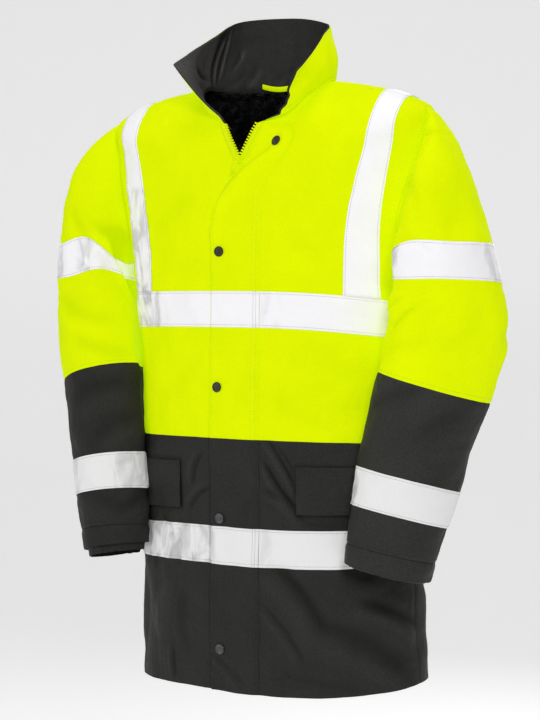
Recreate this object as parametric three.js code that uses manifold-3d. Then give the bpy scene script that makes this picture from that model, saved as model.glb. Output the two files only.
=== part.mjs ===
// Hi-vis work jacket: a padded parka with a storm flap, filled out with no wearer.
// Millimetres, +Z up, the front faces -Y, +X is the wearer's left.
// The origin is the middle of the neck seam, level with the top of the shoulders.
import * as THREE from 'three';
import Module from 'manifold-3d';
import { mergeVertices } from 'three/addons/utils/BufferGeometryUtils.js';

// Driving sizes
const SHELL = 3.0;            // padded wall of the body and sleeves
const SEAM = 0.4;             // space between two pieces at a seam
const LIFT = 0.9;             // from a panel to what is sewn on it
const TAPE = 1.0;             // thickness of the reflective tape
const V_HALF_WIDTH = 27;      // half of the open zip at the neck
const FLAP_FREE_X = -37;      // free edge of the storm flap
const FLAP_SEWN_X = 39;       // its stitched edge
const FLAP_LOW = 0.9;         // inner face of the flap over the fronts
const FLAP_HIGH = 3.9;        // outer face
const SNAP_RADIUS = 7.2;
const SNAP_HEIGHT = 2.6;
const SNAP_X = -25;

const LOOKS = {
  yellow: { color: 0xdfff00, roughness: 0.6, metalness: 0 },
  black: { color: 0x2b2b2a, roughness: 0.75, metalness: 0 },
  tape: { color: 0xe6e8ea, roughness: 0.35, metalness: 0 },
  lining: { color: 0x161616, roughness: 0.45, metalness: 0 },
  metal: { color: 0x4a4c4e, roughness: 0.35, metalness: 1 },
};

const model = new THREE.Group();
const wasm = await Module();
wasm.setup();

function add(name, geometry, look) {
  const mesh = new THREE.Mesh(geometry, new THREE.MeshStandardMaterial(LOOKS[look]));
  mesh.name = name;
  model.add(mesh);
}

// Rows of sizes, each by its name, under columns that are named once
function table(columns, rows) {
  const named = (sizes) => Object.fromEntries(columns.map((column, i) => [column, sizes[i]]));
  return Object.fromEntries(Object.entries(rows).map(([name, sizes]) => [name, named(sizes)]));
}

// Body sections, from the hem up. Heights at centre front, left side, right side and centre back,
// then half width, front, back and side depth, and squareness of the section.
const TORSO = table(['frontZ', 'leftZ', 'rightZ', 'backZ', 'halfW', 'frontY', 'backY', 'sideY', 'square'], {
  hem:       [-836, -822, -843, -835, 218, -91, 170, 34, 2.3],
  skirt:     [-750, -735, -758, -748, 215, -92, 162, 28, 2.3],
  hipLow:    [-661, -653, -669, -661, 213, -92, 160, 28, 2.3],
  hipHigh:   [-609, -603, -620, -610, 213, -92, 158, 28, 2.3],
  pocket:    [-550, -548, -558, -550, 213, -92, 155, 27, 2.3],
  waist:     [-488, -489, -494, -489, 213, -92, 152, 26, 2.35],
  belly:     [-412, -420, -418, -413, 213, -91, 150, 24, 2.4],
  chestLow:  [-336, -351, -341, -337, 214, -90, 149, 20, 2.4],
  chestHigh: [-287, -302, -291, -288, 217, -89, 147, 16, 2.4],
  armpit:    [-232, -228, -228, -232, 224, -88, 138, 11, 2.4],
  breast:    [-190, -178, -178, -188, 236, -86, 127, 7, 2.4],
  yoke:      [-148, -130, -130, -138, 244, -82, 112, 4, 2.4],
  notch:     [-111, -84, -84, -80, 248, -77, 92, 0, 2.4],
  shoulder:  [-93, -42, -42, -33, 248, -76, 70, -3, 2.4],
  slope:     [-77, -14, -14, -12, 178, -75, 57, -3, 2.2],
  neck:      [-62, 0, 0, -4, 103, -74, 48, -2, 2.0],
});
const LEVELS = Object.keys(TORSO);
const BODY = Object.values(TORSO);
const level = (name) => LEVELS.indexOf(name);

// Sleeve rings from the armhole to the mouth of the cuff, for the wearer's left.
// Outer and inner point in X and Z, middle depth, how far back the outer point is turned, half depth,
// rise of the front over the middle, how late the ring falls to its inner point, and what is left
// of the armhole's egg shape.
const SLEEVE = table(['outX', 'outZ', 'inX', 'inZ', 'midY', 'turn', 'deep', 'rise', 'fall', 'egg'], {
  seam:     [248, -42, 224, -228, 0, 0, 60, 0, 1, 1],
  head:     [266, -60, 230, -236, -6, 2, 62, 0, 1.1, 0.6],
  cap:      [288, -92, 230, -242, -14, -1, 69, 0, 1.4, 0.25],
  upper:    [310, -142, 231, -248, -18, -1, 75, 0, 2, 0.05],
  biceps:   [335, -224, 231, -254, -14, 5, 75, 2, 5, 0],
  arm:      [347, -274, 226, -294, -9, 10, 76, 4, 3, 0],
  elbow:    [356, -330, 213, -335, -7, 14, 78, 6, 1.6, 0],
  bend:     [348, -380, 204, -364, -15, 12, 77, 8, 1.1, 0],
  colour:   [333, -431, 197, -393, -21, 11, 76, 10, 1, 0],
  forearm:  [317, -490, 185, -456, -31, 6, 71, 12, 1, 0],
  bandHigh: [303, -546, 173, -520, -38, 3, 67, 12, 1, 0],
  bandLow:  [290, -594, 167, -571, -45, 2, 64, 12, 1, 0],
  wrist:    [279, -641, 163, -621, -51, 1, 61, 10, 1, 0],
  cuff:     [273, -667, 161, -646, -54, 1, 59, 8, 1, 0],
  mouth:    [271, -677, 161, -656, -55, 1, 57, 6, 1, 0],
});
const RINGS = Object.keys(SLEEVE);
const ring = (name) => RINGS.indexOf(name);

// Smooth curve through values at whole numbers
function through(count, value, t) {
  const i = Math.min(Math.max(Math.floor(t), 0), count - 2);
  const f = Math.min(Math.max(t, 0), count - 1) - i;
  const b = value(i);
  const c = value(i + 1);
  const a = i > 0 ? value(i - 1) : 2 * b - c;
  const d = i < count - 2 ? value(i + 2) : 2 * c - b;
  const square = 2 * a - 5 * b + 4 * c - d;
  const cube = 3 * b - a - 3 * c + d;
  return 0.5 * (2 * b + (c - a) * f + square * f * f + cube * f ** 3);
}
const bodyAt = (t, key) => through(BODY.length, (i) => BODY[i][key], t);
const radians = THREE.MathUtils.degToRad;
const power = (value, exponent) => Math.abs(value) ** exponent;
const mix = THREE.MathUtils.lerp;

// Outer face of the body: angle 0 at centre front, 90 at the wearer's left side, 180 at centre back
function body(angle, t) {
  const s = Math.sin(radians(angle));
  const c = Math.cos(radians(angle));
  const e = 2 / bodyAt(t, 'square');
  const side = bodyAt(t, 'sideY');
  const middleY = bodyAt(t, c > 0 ? 'frontY' : 'backY');
  const sideZ = bodyAt(t, s > 0 ? 'leftZ' : 'rightZ');
  const middleZ = bodyAt(t, c > 0 ? 'frontZ' : 'backZ');
  return new THREE.Vector3(
    bodyAt(t, 'halfW') * Math.sign(s) * power(s, e),
    side + (middleY - side) * power(c, e),
    sideZ + (middleZ - sideZ) * power(c, 1.6),
  );
}

// Angle on the body's front where X has a given size
function angleAtX(x, t) {
  const s = power(x / bodyAt(t, 'halfW'), bodyAt(t, 'square') / 2);
  return Math.sign(x) * THREE.MathUtils.radToDeg(Math.asin(Math.min(s, 1)));
}

// Outward normal of a surface given by a function of two values
function normalOf(surface, u, v, du, dv, sign = 1) {
  const across = surface(u + du, v).sub(surface(u - du, v));
  const along = surface(u, v + dv).sub(surface(u, v - dv));
  return across.cross(along).multiplyScalar(sign).normalize();
}
function bodyPoint(angle, t) {
  const inside = Math.min(Math.max(t, 0.03), BODY.length - 1.03);
  return { p: body(angle, t), n: normalOf(body, angle, inside, 0.6, 0.02) };
}

// The armhole: an egg on the body between the armpit and the shoulder tip
const PIT = level('armpit');
const TIP = level('shoulder');
const ARMHOLE_FRONT = { cut: 30, high: 0.25 };   // degrees cut in, and the share of it left high up
const ARMHOLE_BACK = { cut: 24, high: 0.4 };
function armholeEdge(turn) {
  const s = Math.sin(radians(turn));
  const c = Math.cos(radians(turn));
  const { cut, high } = s > 0 ? ARMHOLE_FRONT : ARMHOLE_BACK;
  const angle = cut * power(s, 0.75) * mix(high, 1, power((1 - c) / 2, 1.3));
  return { t: (PIT + TIP) / 2 + ((TIP - PIT) / 2) * c, angle: 90 - Math.sign(s) * angle };
}
function armhole(turn) {
  const edge = armholeEdge(turn);
  return body(edge.angle, edge.t);
}

function ellipse(row, turn) {
  const s = Math.sin(radians(turn));
  const c = Math.cos(radians(turn));
  return new THREE.Vector3(
    (row.outX + row.inX) / 2 + ((row.outX - row.inX) / 2) * c,
    row.midY + row.turn * c - row.deep * s,
    row.outZ + (row.inZ - row.outZ) * power((1 - c) / 2, row.fall) + row.rise * s,
  );
}

// Half width of the body at a height and depth, for keeping the sleeves clear of it
const SLEEVE_GAP = 10;
function bodySide(y, z) {
  let t = 0;
  while (t < PIT && bodyAt(t + 0.25, 'leftZ') < z) t += 0.25;
  const side = bodyAt(t, 'sideY');
  const depth = Math.abs((y < side ? bodyAt(t, 'frontY') : bodyAt(t, 'backY')) - side);
  const share = power(Math.min(Math.abs(y - side) / depth, 1), bodyAt(t, 'square'));
  return bodyAt(t, 'halfW') * power(1 - share, 1 / bodyAt(t, 'square'));
}

// Outer face of a sleeve: turn 0 outside, 90 in front, 180 against the body; v runs from ring to ring
function sleeveLeft(turn, v) {
  const ringPoint = (k) => {
    const row = SLEEVE[RINGS[k]];
    const point = ellipse(row, turn);
    if (row.egg > 0) {
      point.addScaledVector(armhole(turn).sub(ellipse(SLEEVE.seam, turn)), row.egg);
    }
    return point;
  };
  const near = [-1, 0, 1, 2].map((k) => Math.min(Math.max(Math.floor(v) + k, 0), RINGS.length - 1));
  const points = new Map(near.map((k) => [k, ringPoint(k)]));
  const value = (axis) => (i) => (points.get(i) ?? ringPoint(i))[axis];
  const along = ['x', 'y', 'z'].map((axis) => through(RINGS.length, value(axis), v));
  const point = new THREE.Vector3(...along);
  const limit = bodySide(point.y, point.z) + SLEEVE_GAP;
  const rounding = 5;
  const pushed = limit + 0.5 * (point.x - limit + Math.hypot(point.x - limit, rounding));
  point.x += (pushed - point.x) * Math.min(Math.max(v - 0.5, 0), 1);
  return point;
}
const mirrored = (point, side) => point.multiply(new THREE.Vector3(side, 1, 1));
function sleevePoint(side, turn, v) {
  const surface = (a, b) => mirrored(sleeveLeft(a, b), side);
  const inside = Math.min(Math.max(v, 0.03), RINGS.length - 1.03);
  return { p: surface(turn, v), n: normalOf(surface, turn, inside, 1.5, 0.02, side) };
}
const ARMHOLE_PULL = 0.6;
// The armhole seam, with a normal halfway between the body's and the sleeve's
function armholeSeam(side, turn) {
  const edge = armholeEdge(turn);
  const onBody = bodyPoint(side * edge.angle, edge.t);
  const onSleeve = sleevePoint(side, turn, 0.24);
  return { p: onBody.p, n: onBody.n.add(onSleeve.n).normalize(), pull: ARMHOLE_PULL };
}

// A closed wall between two offsets from a grid of surface points
function wall(name, rows, low, high, look, { round = false, seam = SEAM / 2 } = {}) {
  const height = rows.length;
  const width = rows[0].length;
  const moved = rows.map((row, j) => row.map((point, i) => {
    const p = point.p.clone();
    const pull = (other) => p.add(other.p.clone().sub(point.p).setLength(point.pull ?? seam));
    if (j === 0) pull(rows[1][i]);
    if (j === height - 1) pull(rows[height - 2][i]);
    if (!round && i === 0) pull(row[1]);
    if (!round && i === width - 1) pull(row[width - 2]);
    return { p, n: point.n };
  }));
  const positions = [];
  for (const offset of [high, low]) {
    for (const row of moved) {
      for (const { p, n } of row) positions.push(...p.clone().addScaledVector(n, offset).toArray());
    }
  }
  const outer = (j, i) => j * width + (i % width);
  const inner = (j, i) => height * width + outer(j, i);
  const faces = [];
  const quad = (a, b, c, d) => faces.push(a, b, c, a, c, d);
  const spans = round ? width : width - 1;
  for (let j = 0; j < height - 1; j += 1) {
    for (let i = 0; i < spans; i += 1) {
      quad(outer(j, i), outer(j, i + 1), outer(j + 1, i + 1), outer(j + 1, i));
      quad(inner(j, i), inner(j + 1, i), inner(j + 1, i + 1), inner(j, i + 1));
    }
  }
  for (let i = 0; i < spans; i += 1) {
    quad(inner(0, i), inner(0, i + 1), outer(0, i + 1), outer(0, i));
    quad(outer(height - 1, i), outer(height - 1, i + 1), inner(height - 1, i + 1), inner(height - 1, i));
  }
  if (!round) {
    for (let j = 0; j < height - 1; j += 1) {
      quad(outer(j, 0), outer(j + 1, 0), inner(j + 1, 0), inner(j, 0));
      quad(inner(j, width - 1), inner(j + 1, width - 1), outer(j + 1, width - 1), outer(j, width - 1));
    }
  }
  const geometry = new THREE.BufferGeometry();
  geometry.setAttribute('position', new THREE.Float32BufferAttribute(positions, 3));
  geometry.setIndex(volume(positions, faces) > 0 ? faces : faces.reverse());
  add(name, geometry, look);
}

function volume(positions, faces) {
  const at = (k) => new THREE.Vector3().fromArray(positions, faces[k] * 3);
  let sum = 0;
  for (let k = 0; k < faces.length; k += 3) sum += at(k).dot(at(k + 1).cross(at(k + 2)));
  return sum;
}

function steps(from, to, count) {
  return Array.from({ length: count + 1 }, (_, i) => from + ((to - from) * i) / count);
}
const joined = (...lists) => [...new Set(lists.flat())];

// Fronts and back
const FRONT_COLUMNS = 9;
const BACK_COLUMNS = 16;
const ARMHOLE_STEPS = 9;
const armTurns = steps(180, 0, ARMHOLE_STEPS);
const armLevels = armTurns.map((turn) => armholeEdge(turn).t);
const levelsBelow = joined(steps(0, level('hipLow'), 3), steps(level('hipHigh'), level('waist'), 3));
const levelsAbove = joined(steps(level('waist'), level('chestLow'), 3), level('chestHigh'), armLevels,
  steps(TIP, level('neck'), 4));
const NOTCH = level('notch');
const NECK = level('neck');

function vHalfWidth(t) {
  return t <= NOTCH ? 0 : (V_HALF_WIDTH * (t - NOTCH)) / (NECK - NOTCH);
}
// A panel's row of points from its middle to its side seam, armhole or shoulder seam
function panelRow(side, t, middle, columns, back) {
  const k = armLevels.indexOf(t);
  const turn = k < 0 ? null : armTurns[k] * (back ? -1 : 1);
  const edge = k < 0 ? 90 : armholeEdge(turn).angle;
  const row = steps(middle, edge, columns).map((angle) => bodyPoint(side * angle, t));
  if (k >= 0) row[columns] = armholeSeam(side, turn);
  return row;
}
function frontPanel(name, side, levels, look) {
  const rows = levels.map((t) => panelRow(side, t, angleAtX(vHalfWidth(t), t), FRONT_COLUMNS, false));
  wall(name, rows, -SHELL, 0, look);
}
function backPanel(name, levels, look) {
  const half = (side, t) => panelRow(side, t, 180, BACK_COLUMNS / 2, true);
  const rows = levels.map((t) => [...half(-1, t).reverse(), ...half(1, t).slice(1)]);
  wall(name, rows, -SHELL, 0, look);
}
for (const [word, side] of [['right', -1], ['left', 1]]) {
  frontPanel(`front_${word}_upper`, side, levelsAbove, 'yellow');
  frontPanel(`front_${word}_lower`, side, levelsBelow, 'black');
}
backPanel('back_upper', levelsAbove, 'yellow');
backPanel('back_lower', levelsBelow, 'black');

// Sleeves, cuff bands and the linings in their mouths
const AROUND = ARMHOLE_STEPS * 2;
const turns = steps(0, 360, AROUND).slice(0, AROUND);
const sleeveStops = {
  upper: joined([0, 0.5, 1, 1.5, 2, 2.5], steps(ring('upper'), ring('colour'), 7)),
  lower: steps(ring('colour'), ring('wrist'), 6),
  cuff: steps(ring('wrist'), ring('cuff'), 1),
  bandHigh: steps(ring('biceps'), ring('arm'), 1),
  bandLow: steps(ring('bandHigh'), ring('bandLow'), 1),
};
function sleeveWall(name, side, stops, low, high, look, seam = SEAM / 2) {
  const pointAt = (turn, v) => (v === 0 ? armholeSeam(side, turn) : sleevePoint(side, turn, v));
  const rows = stops.map((v) => turns.map((turn) => pointAt(turn, v)));
  wall(name, rows, low, high, look, { round: true, seam });
}
const LINING = 1.2;
const CUFF_PROUD = 0.6;
const CUFF_SEAM = 0.7;
const LINING_DEPTH = SHELL + 2.3;
const LINING_SHOWS = { right: 1, left: 0.2 };   // share of the 10 mm below the cuff
for (const [word, side] of [['right', -1], ['left', 1]]) {
  sleeveWall(`sleeve_${word}_upper`, side, sleeveStops.upper, -SHELL, 0, 'yellow');
  sleeveWall(`sleeve_${word}_lower`, side, sleeveStops.lower, -SHELL, 0, 'black');
  sleeveWall(`cuff_${word}`, side, sleeveStops.cuff, -SHELL, CUFF_PROUD, 'black', CUFF_SEAM);
  const liningStops = steps(ring('wrist'), ring('cuff') + LINING_SHOWS[word], 3);
  sleeveWall(`cuff_lining_${word}`, side, liningStops, -LINING_DEPTH - LINING, -LINING_DEPTH, 'lining');
  sleeveWall(`sleeve_band_upper_${word}`, side, sleeveStops.bandHigh, LIFT, LIFT + TAPE, 'tape');
  sleeveWall(`sleeve_band_lower_${word}`, side, sleeveStops.bandLow, LIFT, LIFT + TAPE, 'tape');
}

// Collar, worn open, from its right front corner round the back to the left one.
// Degrees round the neck from the back, the point on the top edge, and how far the middle leans left.
const COLLAR = table(['round', 'x', 'y', 'z', 'lean'], {
  rightCorner:  [-164, -102, -90, 23, 0],
  rightCheek:   [-130, -96, -48, 49, 0],
  rightSide:    [-90, -90, -4, 73, 0],
  rightQuarter: [-45, -74, 42, 96, 0],
  back:         [0, 0, 80, 99, 0],
  leftQuarter:  [45, 66, 50, 84, 0],
  leftSide:     [90, 89, -4, 63, 3],
  leftCheek:    [130, 95, -48, 31, 8],
  leftCorner:   [164, 100, -90, 3, 12],
});
const COLLAR_BOW = 6;         // how far the middle of the collar stands out
const COLLAR_SHELL = 2.0;
const COLLAR_LINING = 2.0;
const COLLAR_SPACE = 0.4;
const wholeCollar = Object.values(COLLAR);
const collarAt = (k, key) => through(wholeCollar.length, (i) => wholeCollar[i][key], k);
function collar(round, h) {
  let k = 0;
  while (k < wholeCollar.length - 2 && wholeCollar[k + 1].round < round) k += 1;
  const share = (round - wholeCollar[k].round) / (wholeCollar[k + 1].round - wholeCollar[k].round);
  const top = new THREE.Vector3(...['x', 'y', 'z'].map((key) => collarAt(k + share, key)));
  const base = body(180 - round, NECK);
  const outward = new THREE.Vector3(base.x, base.y, 0).normalize();
  const middle = Math.sin(Math.PI * h);
  const point = base.lerp(top, h).addScaledVector(outward, COLLAR_BOW * middle);
  point.x += collarAt(k + share, 'lean') * middle;
  return point;
}
const COLLAR_END = COLLAR.leftCorner.round;
function collarPoint(round, h) {
  const edge = Math.min(Math.max(round, 2 - COLLAR_END), COLLAR_END - 2);
  return { p: collar(round, h), n: normalOf(collar, edge, h, 1.5, 0.02, -1) };
}
const collarRounds = steps(-COLLAR_END, COLLAR_END, 24);
const collarRows = steps(0, 1, 5).map((h) => collarRounds.map((round) => collarPoint(round, h)));
const COLLAR_INSIDE = COLLAR_SHELL + COLLAR_SPACE;
wall('collar_shell', collarRows, -COLLAR_SHELL, 0, 'yellow');
wall('collar_lining', collarRows, -COLLAR_INSIDE - COLLAR_LINING, -COLLAR_INSIDE, 'black');

// Lining that shows inside the back of the neck
const neckLiningRows = steps(level('breast'), NECK - 0.15, 6).map((t) => (
  steps(104, 256, 10).map((angle) => bodyPoint(angle, t))));
const NECK_LINING_DEPTH = SHELL + 1.8;
wall('neck_lining', neckLiningRows, -NECK_LINING_DEPTH - LINING, -NECK_LINING_DEPTH, 'lining');

// Storm flap: height at centre front, free and sewn edge, and the roll of its turned top
const FLAP = table(['z', 'free', 'sewn', 'rollX', 'roll'], {
  hem:    [-836, FLAP_FREE_X, FLAP_SEWN_X, FLAP_FREE_X, 0],
  hip:    [-661, FLAP_FREE_X, FLAP_SEWN_X, FLAP_FREE_X, 0],
  waist:  [-488, FLAP_FREE_X, FLAP_SEWN_X, FLAP_FREE_X, 0],
  chest:  [-336, FLAP_FREE_X, FLAP_SEWN_X, FLAP_FREE_X, 0],
  snap:   [-240, FLAP_FREE_X, FLAP_SEWN_X, FLAP_FREE_X, 1],
  turn:   [-202, -37, FLAP_SEWN_X, -35, 5],
  low:    [-169, -27, FLAP_SEWN_X, -20, 7],
  middle: [-142, -13, 43, 4, 8],
  foot:   [-119, 4, 60, 30, 8],
  high:   [-100, 17, 76, 58, 6],
  corner: [-84, 26, 82, 74, 3],
  top:    [-74, 32, 76, 74, 1],
});
const flapRows = Object.values(FLAP);
const ROLL_WIDTH = 13;
function levelAtFrontZ(z) {
  let low = 0;
  let high = NECK;
  for (let k = 0; k < 40; k += 1) {
    const t = (low + high) / 2;
    if (bodyAt(t, 'frontZ') < z) low = t; else high = t;
  }
  return (low + high) / 2;
}
function flapAt(z, key) {
  let k = 0;
  while (k < flapRows.length - 2 && flapRows[k + 1].z < z) k += 1;
  const [low, high] = [flapRows[k], flapRows[k + 1]];
  return mix(low[key], high[key], (z - low.z) / (high.z - low.z));
}
// A point over the fronts, raised by the flap's roll
function flapPoint(x, z) {
  const t = levelAtFrontZ(z);
  const point = bodyPoint(angleAtX(x, t), t);
  const roll = flapAt(z, 'roll') * Math.exp(-(((x - flapAt(z, 'rollX')) / ROLL_WIDTH) ** 2));
  return point.p.addScaledVector(point.n, roll);
}
const onFlap = (x, z) => ({ p: flapPoint(x, z), n: normalOf(flapPoint, x, z, 1, 1) });
function flap(name, heights, columns, look) {
  const across = (z) => steps(flapAt(z, 'free'), flapAt(z, 'sewn'), columns);
  const rows = heights.map((z) => across(z).map((x) => onFlap(x, z)));
  wall(name, rows, FLAP_LOW, FLAP_HIGH, look);
}
flap('flap_lower', joined(steps(FLAP.hem.z, FLAP.hip.z, 3), BODY[level('hipHigh')].frontZ,
  steps(BODY[level('hipHigh')].frontZ, FLAP.waist.z, 2)), 4, 'black');
flap('flap_upper', joined(steps(FLAP.waist.z, FLAP.chest.z, 2), BODY[level('chestHigh')].frontZ,
  flapRows.slice(4).map((row) => row.z)), 8, 'yellow');

// Reflective bands round the body, in the pieces that its seams part
const BAND_END_RIGHT = FLAP_FREE_X - 1.2;
const BAND_END_LEFT = FLAP_SEWN_X + 1.2;
const FLAP_BAND_INSET = 0.6;
function bodyBand(name, bottom, top) {
  const levels = [level(bottom), level(top)];
  const panel = steps(0, 90, FRONT_COLUMNS);
  const front = (side, end) => levels.map((t) => {
    const start = Math.abs(angleAtX(end, t));
    const angles = [start, ...panel.filter((angle) => angle > start + 2)];
    return angles.map((angle) => bodyPoint(side * angle, t));
  });
  wall(`${name}_right`, front(-1, BAND_END_RIGHT), LIFT, LIFT + TAPE, 'tape');
  wall(`${name}_left`, front(1, BAND_END_LEFT), LIFT, LIFT + TAPE, 'tape');
  const back = levels.map((t) => steps(90, 270, BACK_COLUMNS).map((angle) => bodyPoint(angle, t)));
  wall(`${name}_back`, back, LIFT, LIFT + TAPE, 'tape');
  const ends = [FLAP_FREE_X + FLAP_BAND_INSET, FLAP_SEWN_X - FLAP_BAND_INSET];
  const middle = levels.map((t) => steps(...ends, 4).map((x) => onFlap(x, bodyAt(t, 'frontZ'))));
  wall(`${name}_flap`, middle, FLAP_HIGH + LIFT, FLAP_HIGH + LIFT + TAPE, 'tape');
}
bodyBand('chest_band', 'chestLow', 'chestHigh');
bodyBand('hip_band', 'hipLow', 'hipHigh');

// Braces: over the shoulders from band to band. Inner and outer edge at each level.
const BRACE = table(['inner', 'outer'], {
  chestHigh: [155, 196],
  armpit:    [157, 198],
  breast:    [162, 203],
  yoke:      [171, 210],
  notch:     [181, 217],
  shoulder:  [187, 222],
  slope:     [189, 225],
});
const BRACE_LIFT = 2.0;
const BRACE_START = level('chestHigh');
const braceRows = Object.values(BRACE);
function braceX(across, t) {
  const value = (key) => through(braceRows.length, (i) => braceRows[i][key], t - BRACE_START);
  return mix(value('inner'), value('outer'), across);
}
// Level at which a line of the brace reaches the shoulder seam
function braceTop(across) {
  let low = TIP;
  let high = level('slope');
  for (let k = 0; k < 40; k += 1) {
    const t = (low + high) / 2;
    if (bodyAt(t, 'halfW') > braceX(across, t)) low = t; else high = t;
  }
  return low;
}
for (const [word, side] of [['right', -1], ['left', 1]]) {
  const rows = steps(-1, 1, 28).map((way) => steps(0, 1, 3).map((across) => {
    const top = braceTop(across);
    const t = top - (top - BRACE_START) * power(way, 1.6);
    const angle = angleAtX(braceX(across, t), t);
    return bodyPoint(side * (way < 0 ? angle : 180 - angle), t);
  }));
  wall(`brace_${word}`, rows, BRACE_LIFT, BRACE_LIFT + TAPE, 'tape');
}

// Pocket flaps on the skirt
const POCKET = { inner: 94, outer: 190, top: -522, bottom: -587, lift: 0.75, thick: 2.0 };
for (const [word, side] of [['right', -1], ['left', 1]]) {
  const rows = steps(POCKET.bottom, POCKET.top, 2).map((z) => {
    const t = levelAtFrontZ(z);
    return steps(POCKET.inner, POCKET.outer, 5).map((x) => bodyPoint(side * angleAtX(x, t), t));
  });
  wall(`pocket_flap_${word}`, rows, POCKET.lift, POCKET.lift + POCKET.thick, 'black');
}

// Snap caps on the flap, the top one on its turned corner
const SNAPS = [[SNAP_X, -233], [SNAP_X, -418], [SNAP_X + 2, -598], [SNAP_X + 4, -778], [61, -89]];
const SNAP_SEAT = 0.7;
SNAPS.forEach(([x, z], k) => {
  const profile = [[0, 0], [SNAP_RADIUS * 0.8, 0], [SNAP_RADIUS, 0.8], [SNAP_RADIUS * 0.92, 1.8],
    [SNAP_RADIUS * 0.5, SNAP_HEIGHT], [0, SNAP_HEIGHT]];
  const cap = new THREE.LatheGeometry(profile.map(([r, y]) => new THREE.Vector2(r, y)), 12);
  const point = onFlap(x, z);
  const up = new THREE.Vector3(0, 1, 0);
  cap.applyQuaternion(new THREE.Quaternion().setFromUnitVectors(up, point.n));
  cap.translate(...point.p.addScaledVector(point.n, FLAP_HIGH + SNAP_SEAT).toArray());
  add(`snap_${k + 1}`, cap, 'metal');
});

// Zip tapes along the open V
const ZIP_TAPE = 7;
for (const [word, side] of [['right', -1], ['left', 1]]) {
  const rows = steps(NOTCH + 0.1, NECK - 0.05, 6).map((t) => [0.3, ZIP_TAPE].map((out) => (
    bodyPoint(side * angleAtX(vHalfWidth(t) + out, t), t))));
  wall(`zip_tape_${word}`, rows, LIFT, LIFT + TAPE, 'yellow');
}

// Zip slider at the foot of the V, with a lug that its pull hangs from
const SLIDER = { half: 4.2, deep: 4.5, top: -103, bottom: -113.5, space: 1.9 };
const PIVOT = new THREE.Vector3(0, body(0, NOTCH).y - SLIDER.space - SLIDER.deep - 3.2, -107);
const LUG = { radius: 2.3, hole: 1.3, half: 1.2 };
const PULL = { half: 3.6, slot: 1.6, slotDeep: 3.2, length: 19, tip: 2.6, thick: 1.6, pin: 0.9, lean: 22 };

function manifoldOf(geometry) {
  const plain = geometry.clone();
  plain.deleteAttribute('normal');
  plain.deleteAttribute('uv');
  const merged = mergeVertices(plain, 1e-4);
  const vertProperties = new Float32Array(merged.attributes.position.array);
  const triVerts = new Uint32Array(merged.index.array);
  return new wasm.Manifold(new wasm.Mesh({ numProp: 3, vertProperties, triVerts }));
}
function geometryOf(solid) {
  const { vertProperties, triVerts } = solid.getMesh();
  const geometry = new THREE.BufferGeometry();
  geometry.setAttribute('position', new THREE.Float32BufferAttribute(vertProperties, 3));
  geometry.setIndex([...triVerts]);
  return geometry;
}
// A flat outline in Y and Z, given depth along X
function acrossX(shape, half, segments = 5) {
  const extent = { depth: half * 2, bevelEnabled: false, curveSegments: segments };
  const geometry = new THREE.ExtrudeGeometry(shape, extent);
  geometry.translate(0, 0, -half);
  return geometry.applyMatrix4(new THREE.Matrix4().makeBasis(
    new THREE.Vector3(0, 1, 0), new THREE.Vector3(0, 0, 1), new THREE.Vector3(1, 0, 0)));
}
const sliderFront = PIVOT.y + 3.2;
const sliderBody = new THREE.BoxGeometry(SLIDER.half * 2, SLIDER.deep, SLIDER.top - SLIDER.bottom);
sliderBody.translate(0, sliderFront + SLIDER.deep / 2, (SLIDER.top + SLIDER.bottom) / 2);
const lugShape = new THREE.Shape();
lugShape.absarc(PIVOT.y, PIVOT.z, LUG.radius, Math.PI / 2, (Math.PI * 3) / 2);
lugShape.lineTo(sliderFront + 1, PIVOT.z - LUG.radius);
lugShape.lineTo(sliderFront + 1, PIVOT.z + LUG.radius);
lugShape.holes.push(new THREE.Path().absarc(PIVOT.y, PIVOT.z, LUG.hole, 0, Math.PI * 2, true));
const lug = manifoldOf(acrossX(lugShape, LUG.half));
add('zip_slider', geometryOf(manifoldOf(sliderBody).add(lug)), 'yellow');

const tabShape = new THREE.Shape();
tabShape.moveTo(-PULL.half, 2);
tabShape.lineTo(-PULL.half, -PULL.length * 0.5);
tabShape.lineTo(-PULL.tip, -PULL.length);
tabShape.lineTo(PULL.tip, -PULL.length);
tabShape.lineTo(PULL.half, -PULL.length * 0.5);
tabShape.lineTo(PULL.half, 2);
tabShape.lineTo(PULL.slot, 2);
tabShape.lineTo(PULL.slot, -PULL.slotDeep);
tabShape.lineTo(-PULL.slot, -PULL.slotDeep);
tabShape.lineTo(-PULL.slot, 2);
const tab = new THREE.ExtrudeGeometry(tabShape, { depth: PULL.thick, bevelEnabled: false });
tab.translate(0, 0, -PULL.thick / 2);
tab.rotateX(Math.PI / 2);
const pin = new THREE.CylinderGeometry(PULL.pin, PULL.pin, PULL.half * 2 - 0.6, 10);
pin.rotateZ(Math.PI / 2);
const pull = geometryOf(manifoldOf(tab).add(manifoldOf(pin)));
pull.rotateX(-radians(PULL.lean));
pull.translate(...PIVOT.toArray());
add('zip_pull', pull, 'yellow');

// Hanger loop behind the neck
const LOOP = { half: 30, middle: -4, tall: 8, thick: 1.2, sag: 6, bulge: 6, seat: 0.4, top: 4 };
const loopRows = [0, 1].map((up) => steps(-LOOP.half, LOOP.half, 10).map((x) => {
  const away = 1 - (x / LOOP.half) ** 2;
  const across = x + LOOP.middle;
  const ringY = body(180 - angleAtX(across, NECK), NECK).y - COLLAR_INSIDE - COLLAR_LINING - LOOP.seat;
  const z = LOOP.top - LOOP.tall * (1 - up) - LOOP.sag * away;
  return { p: new THREE.Vector3(across, ringY - LOOP.bulge * away, z), n: new THREE.Vector3(0, -1, 0) };
}));
wall('hanger_loop', loopRows, 0, LOOP.thick, 'yellow', { seam: 0.01 });

export default model;
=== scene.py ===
"""Hi-vis work jacket, filled out with no wearer: cloth, tape, stitching, zip and studs round the frame's solids."""

import math

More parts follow.
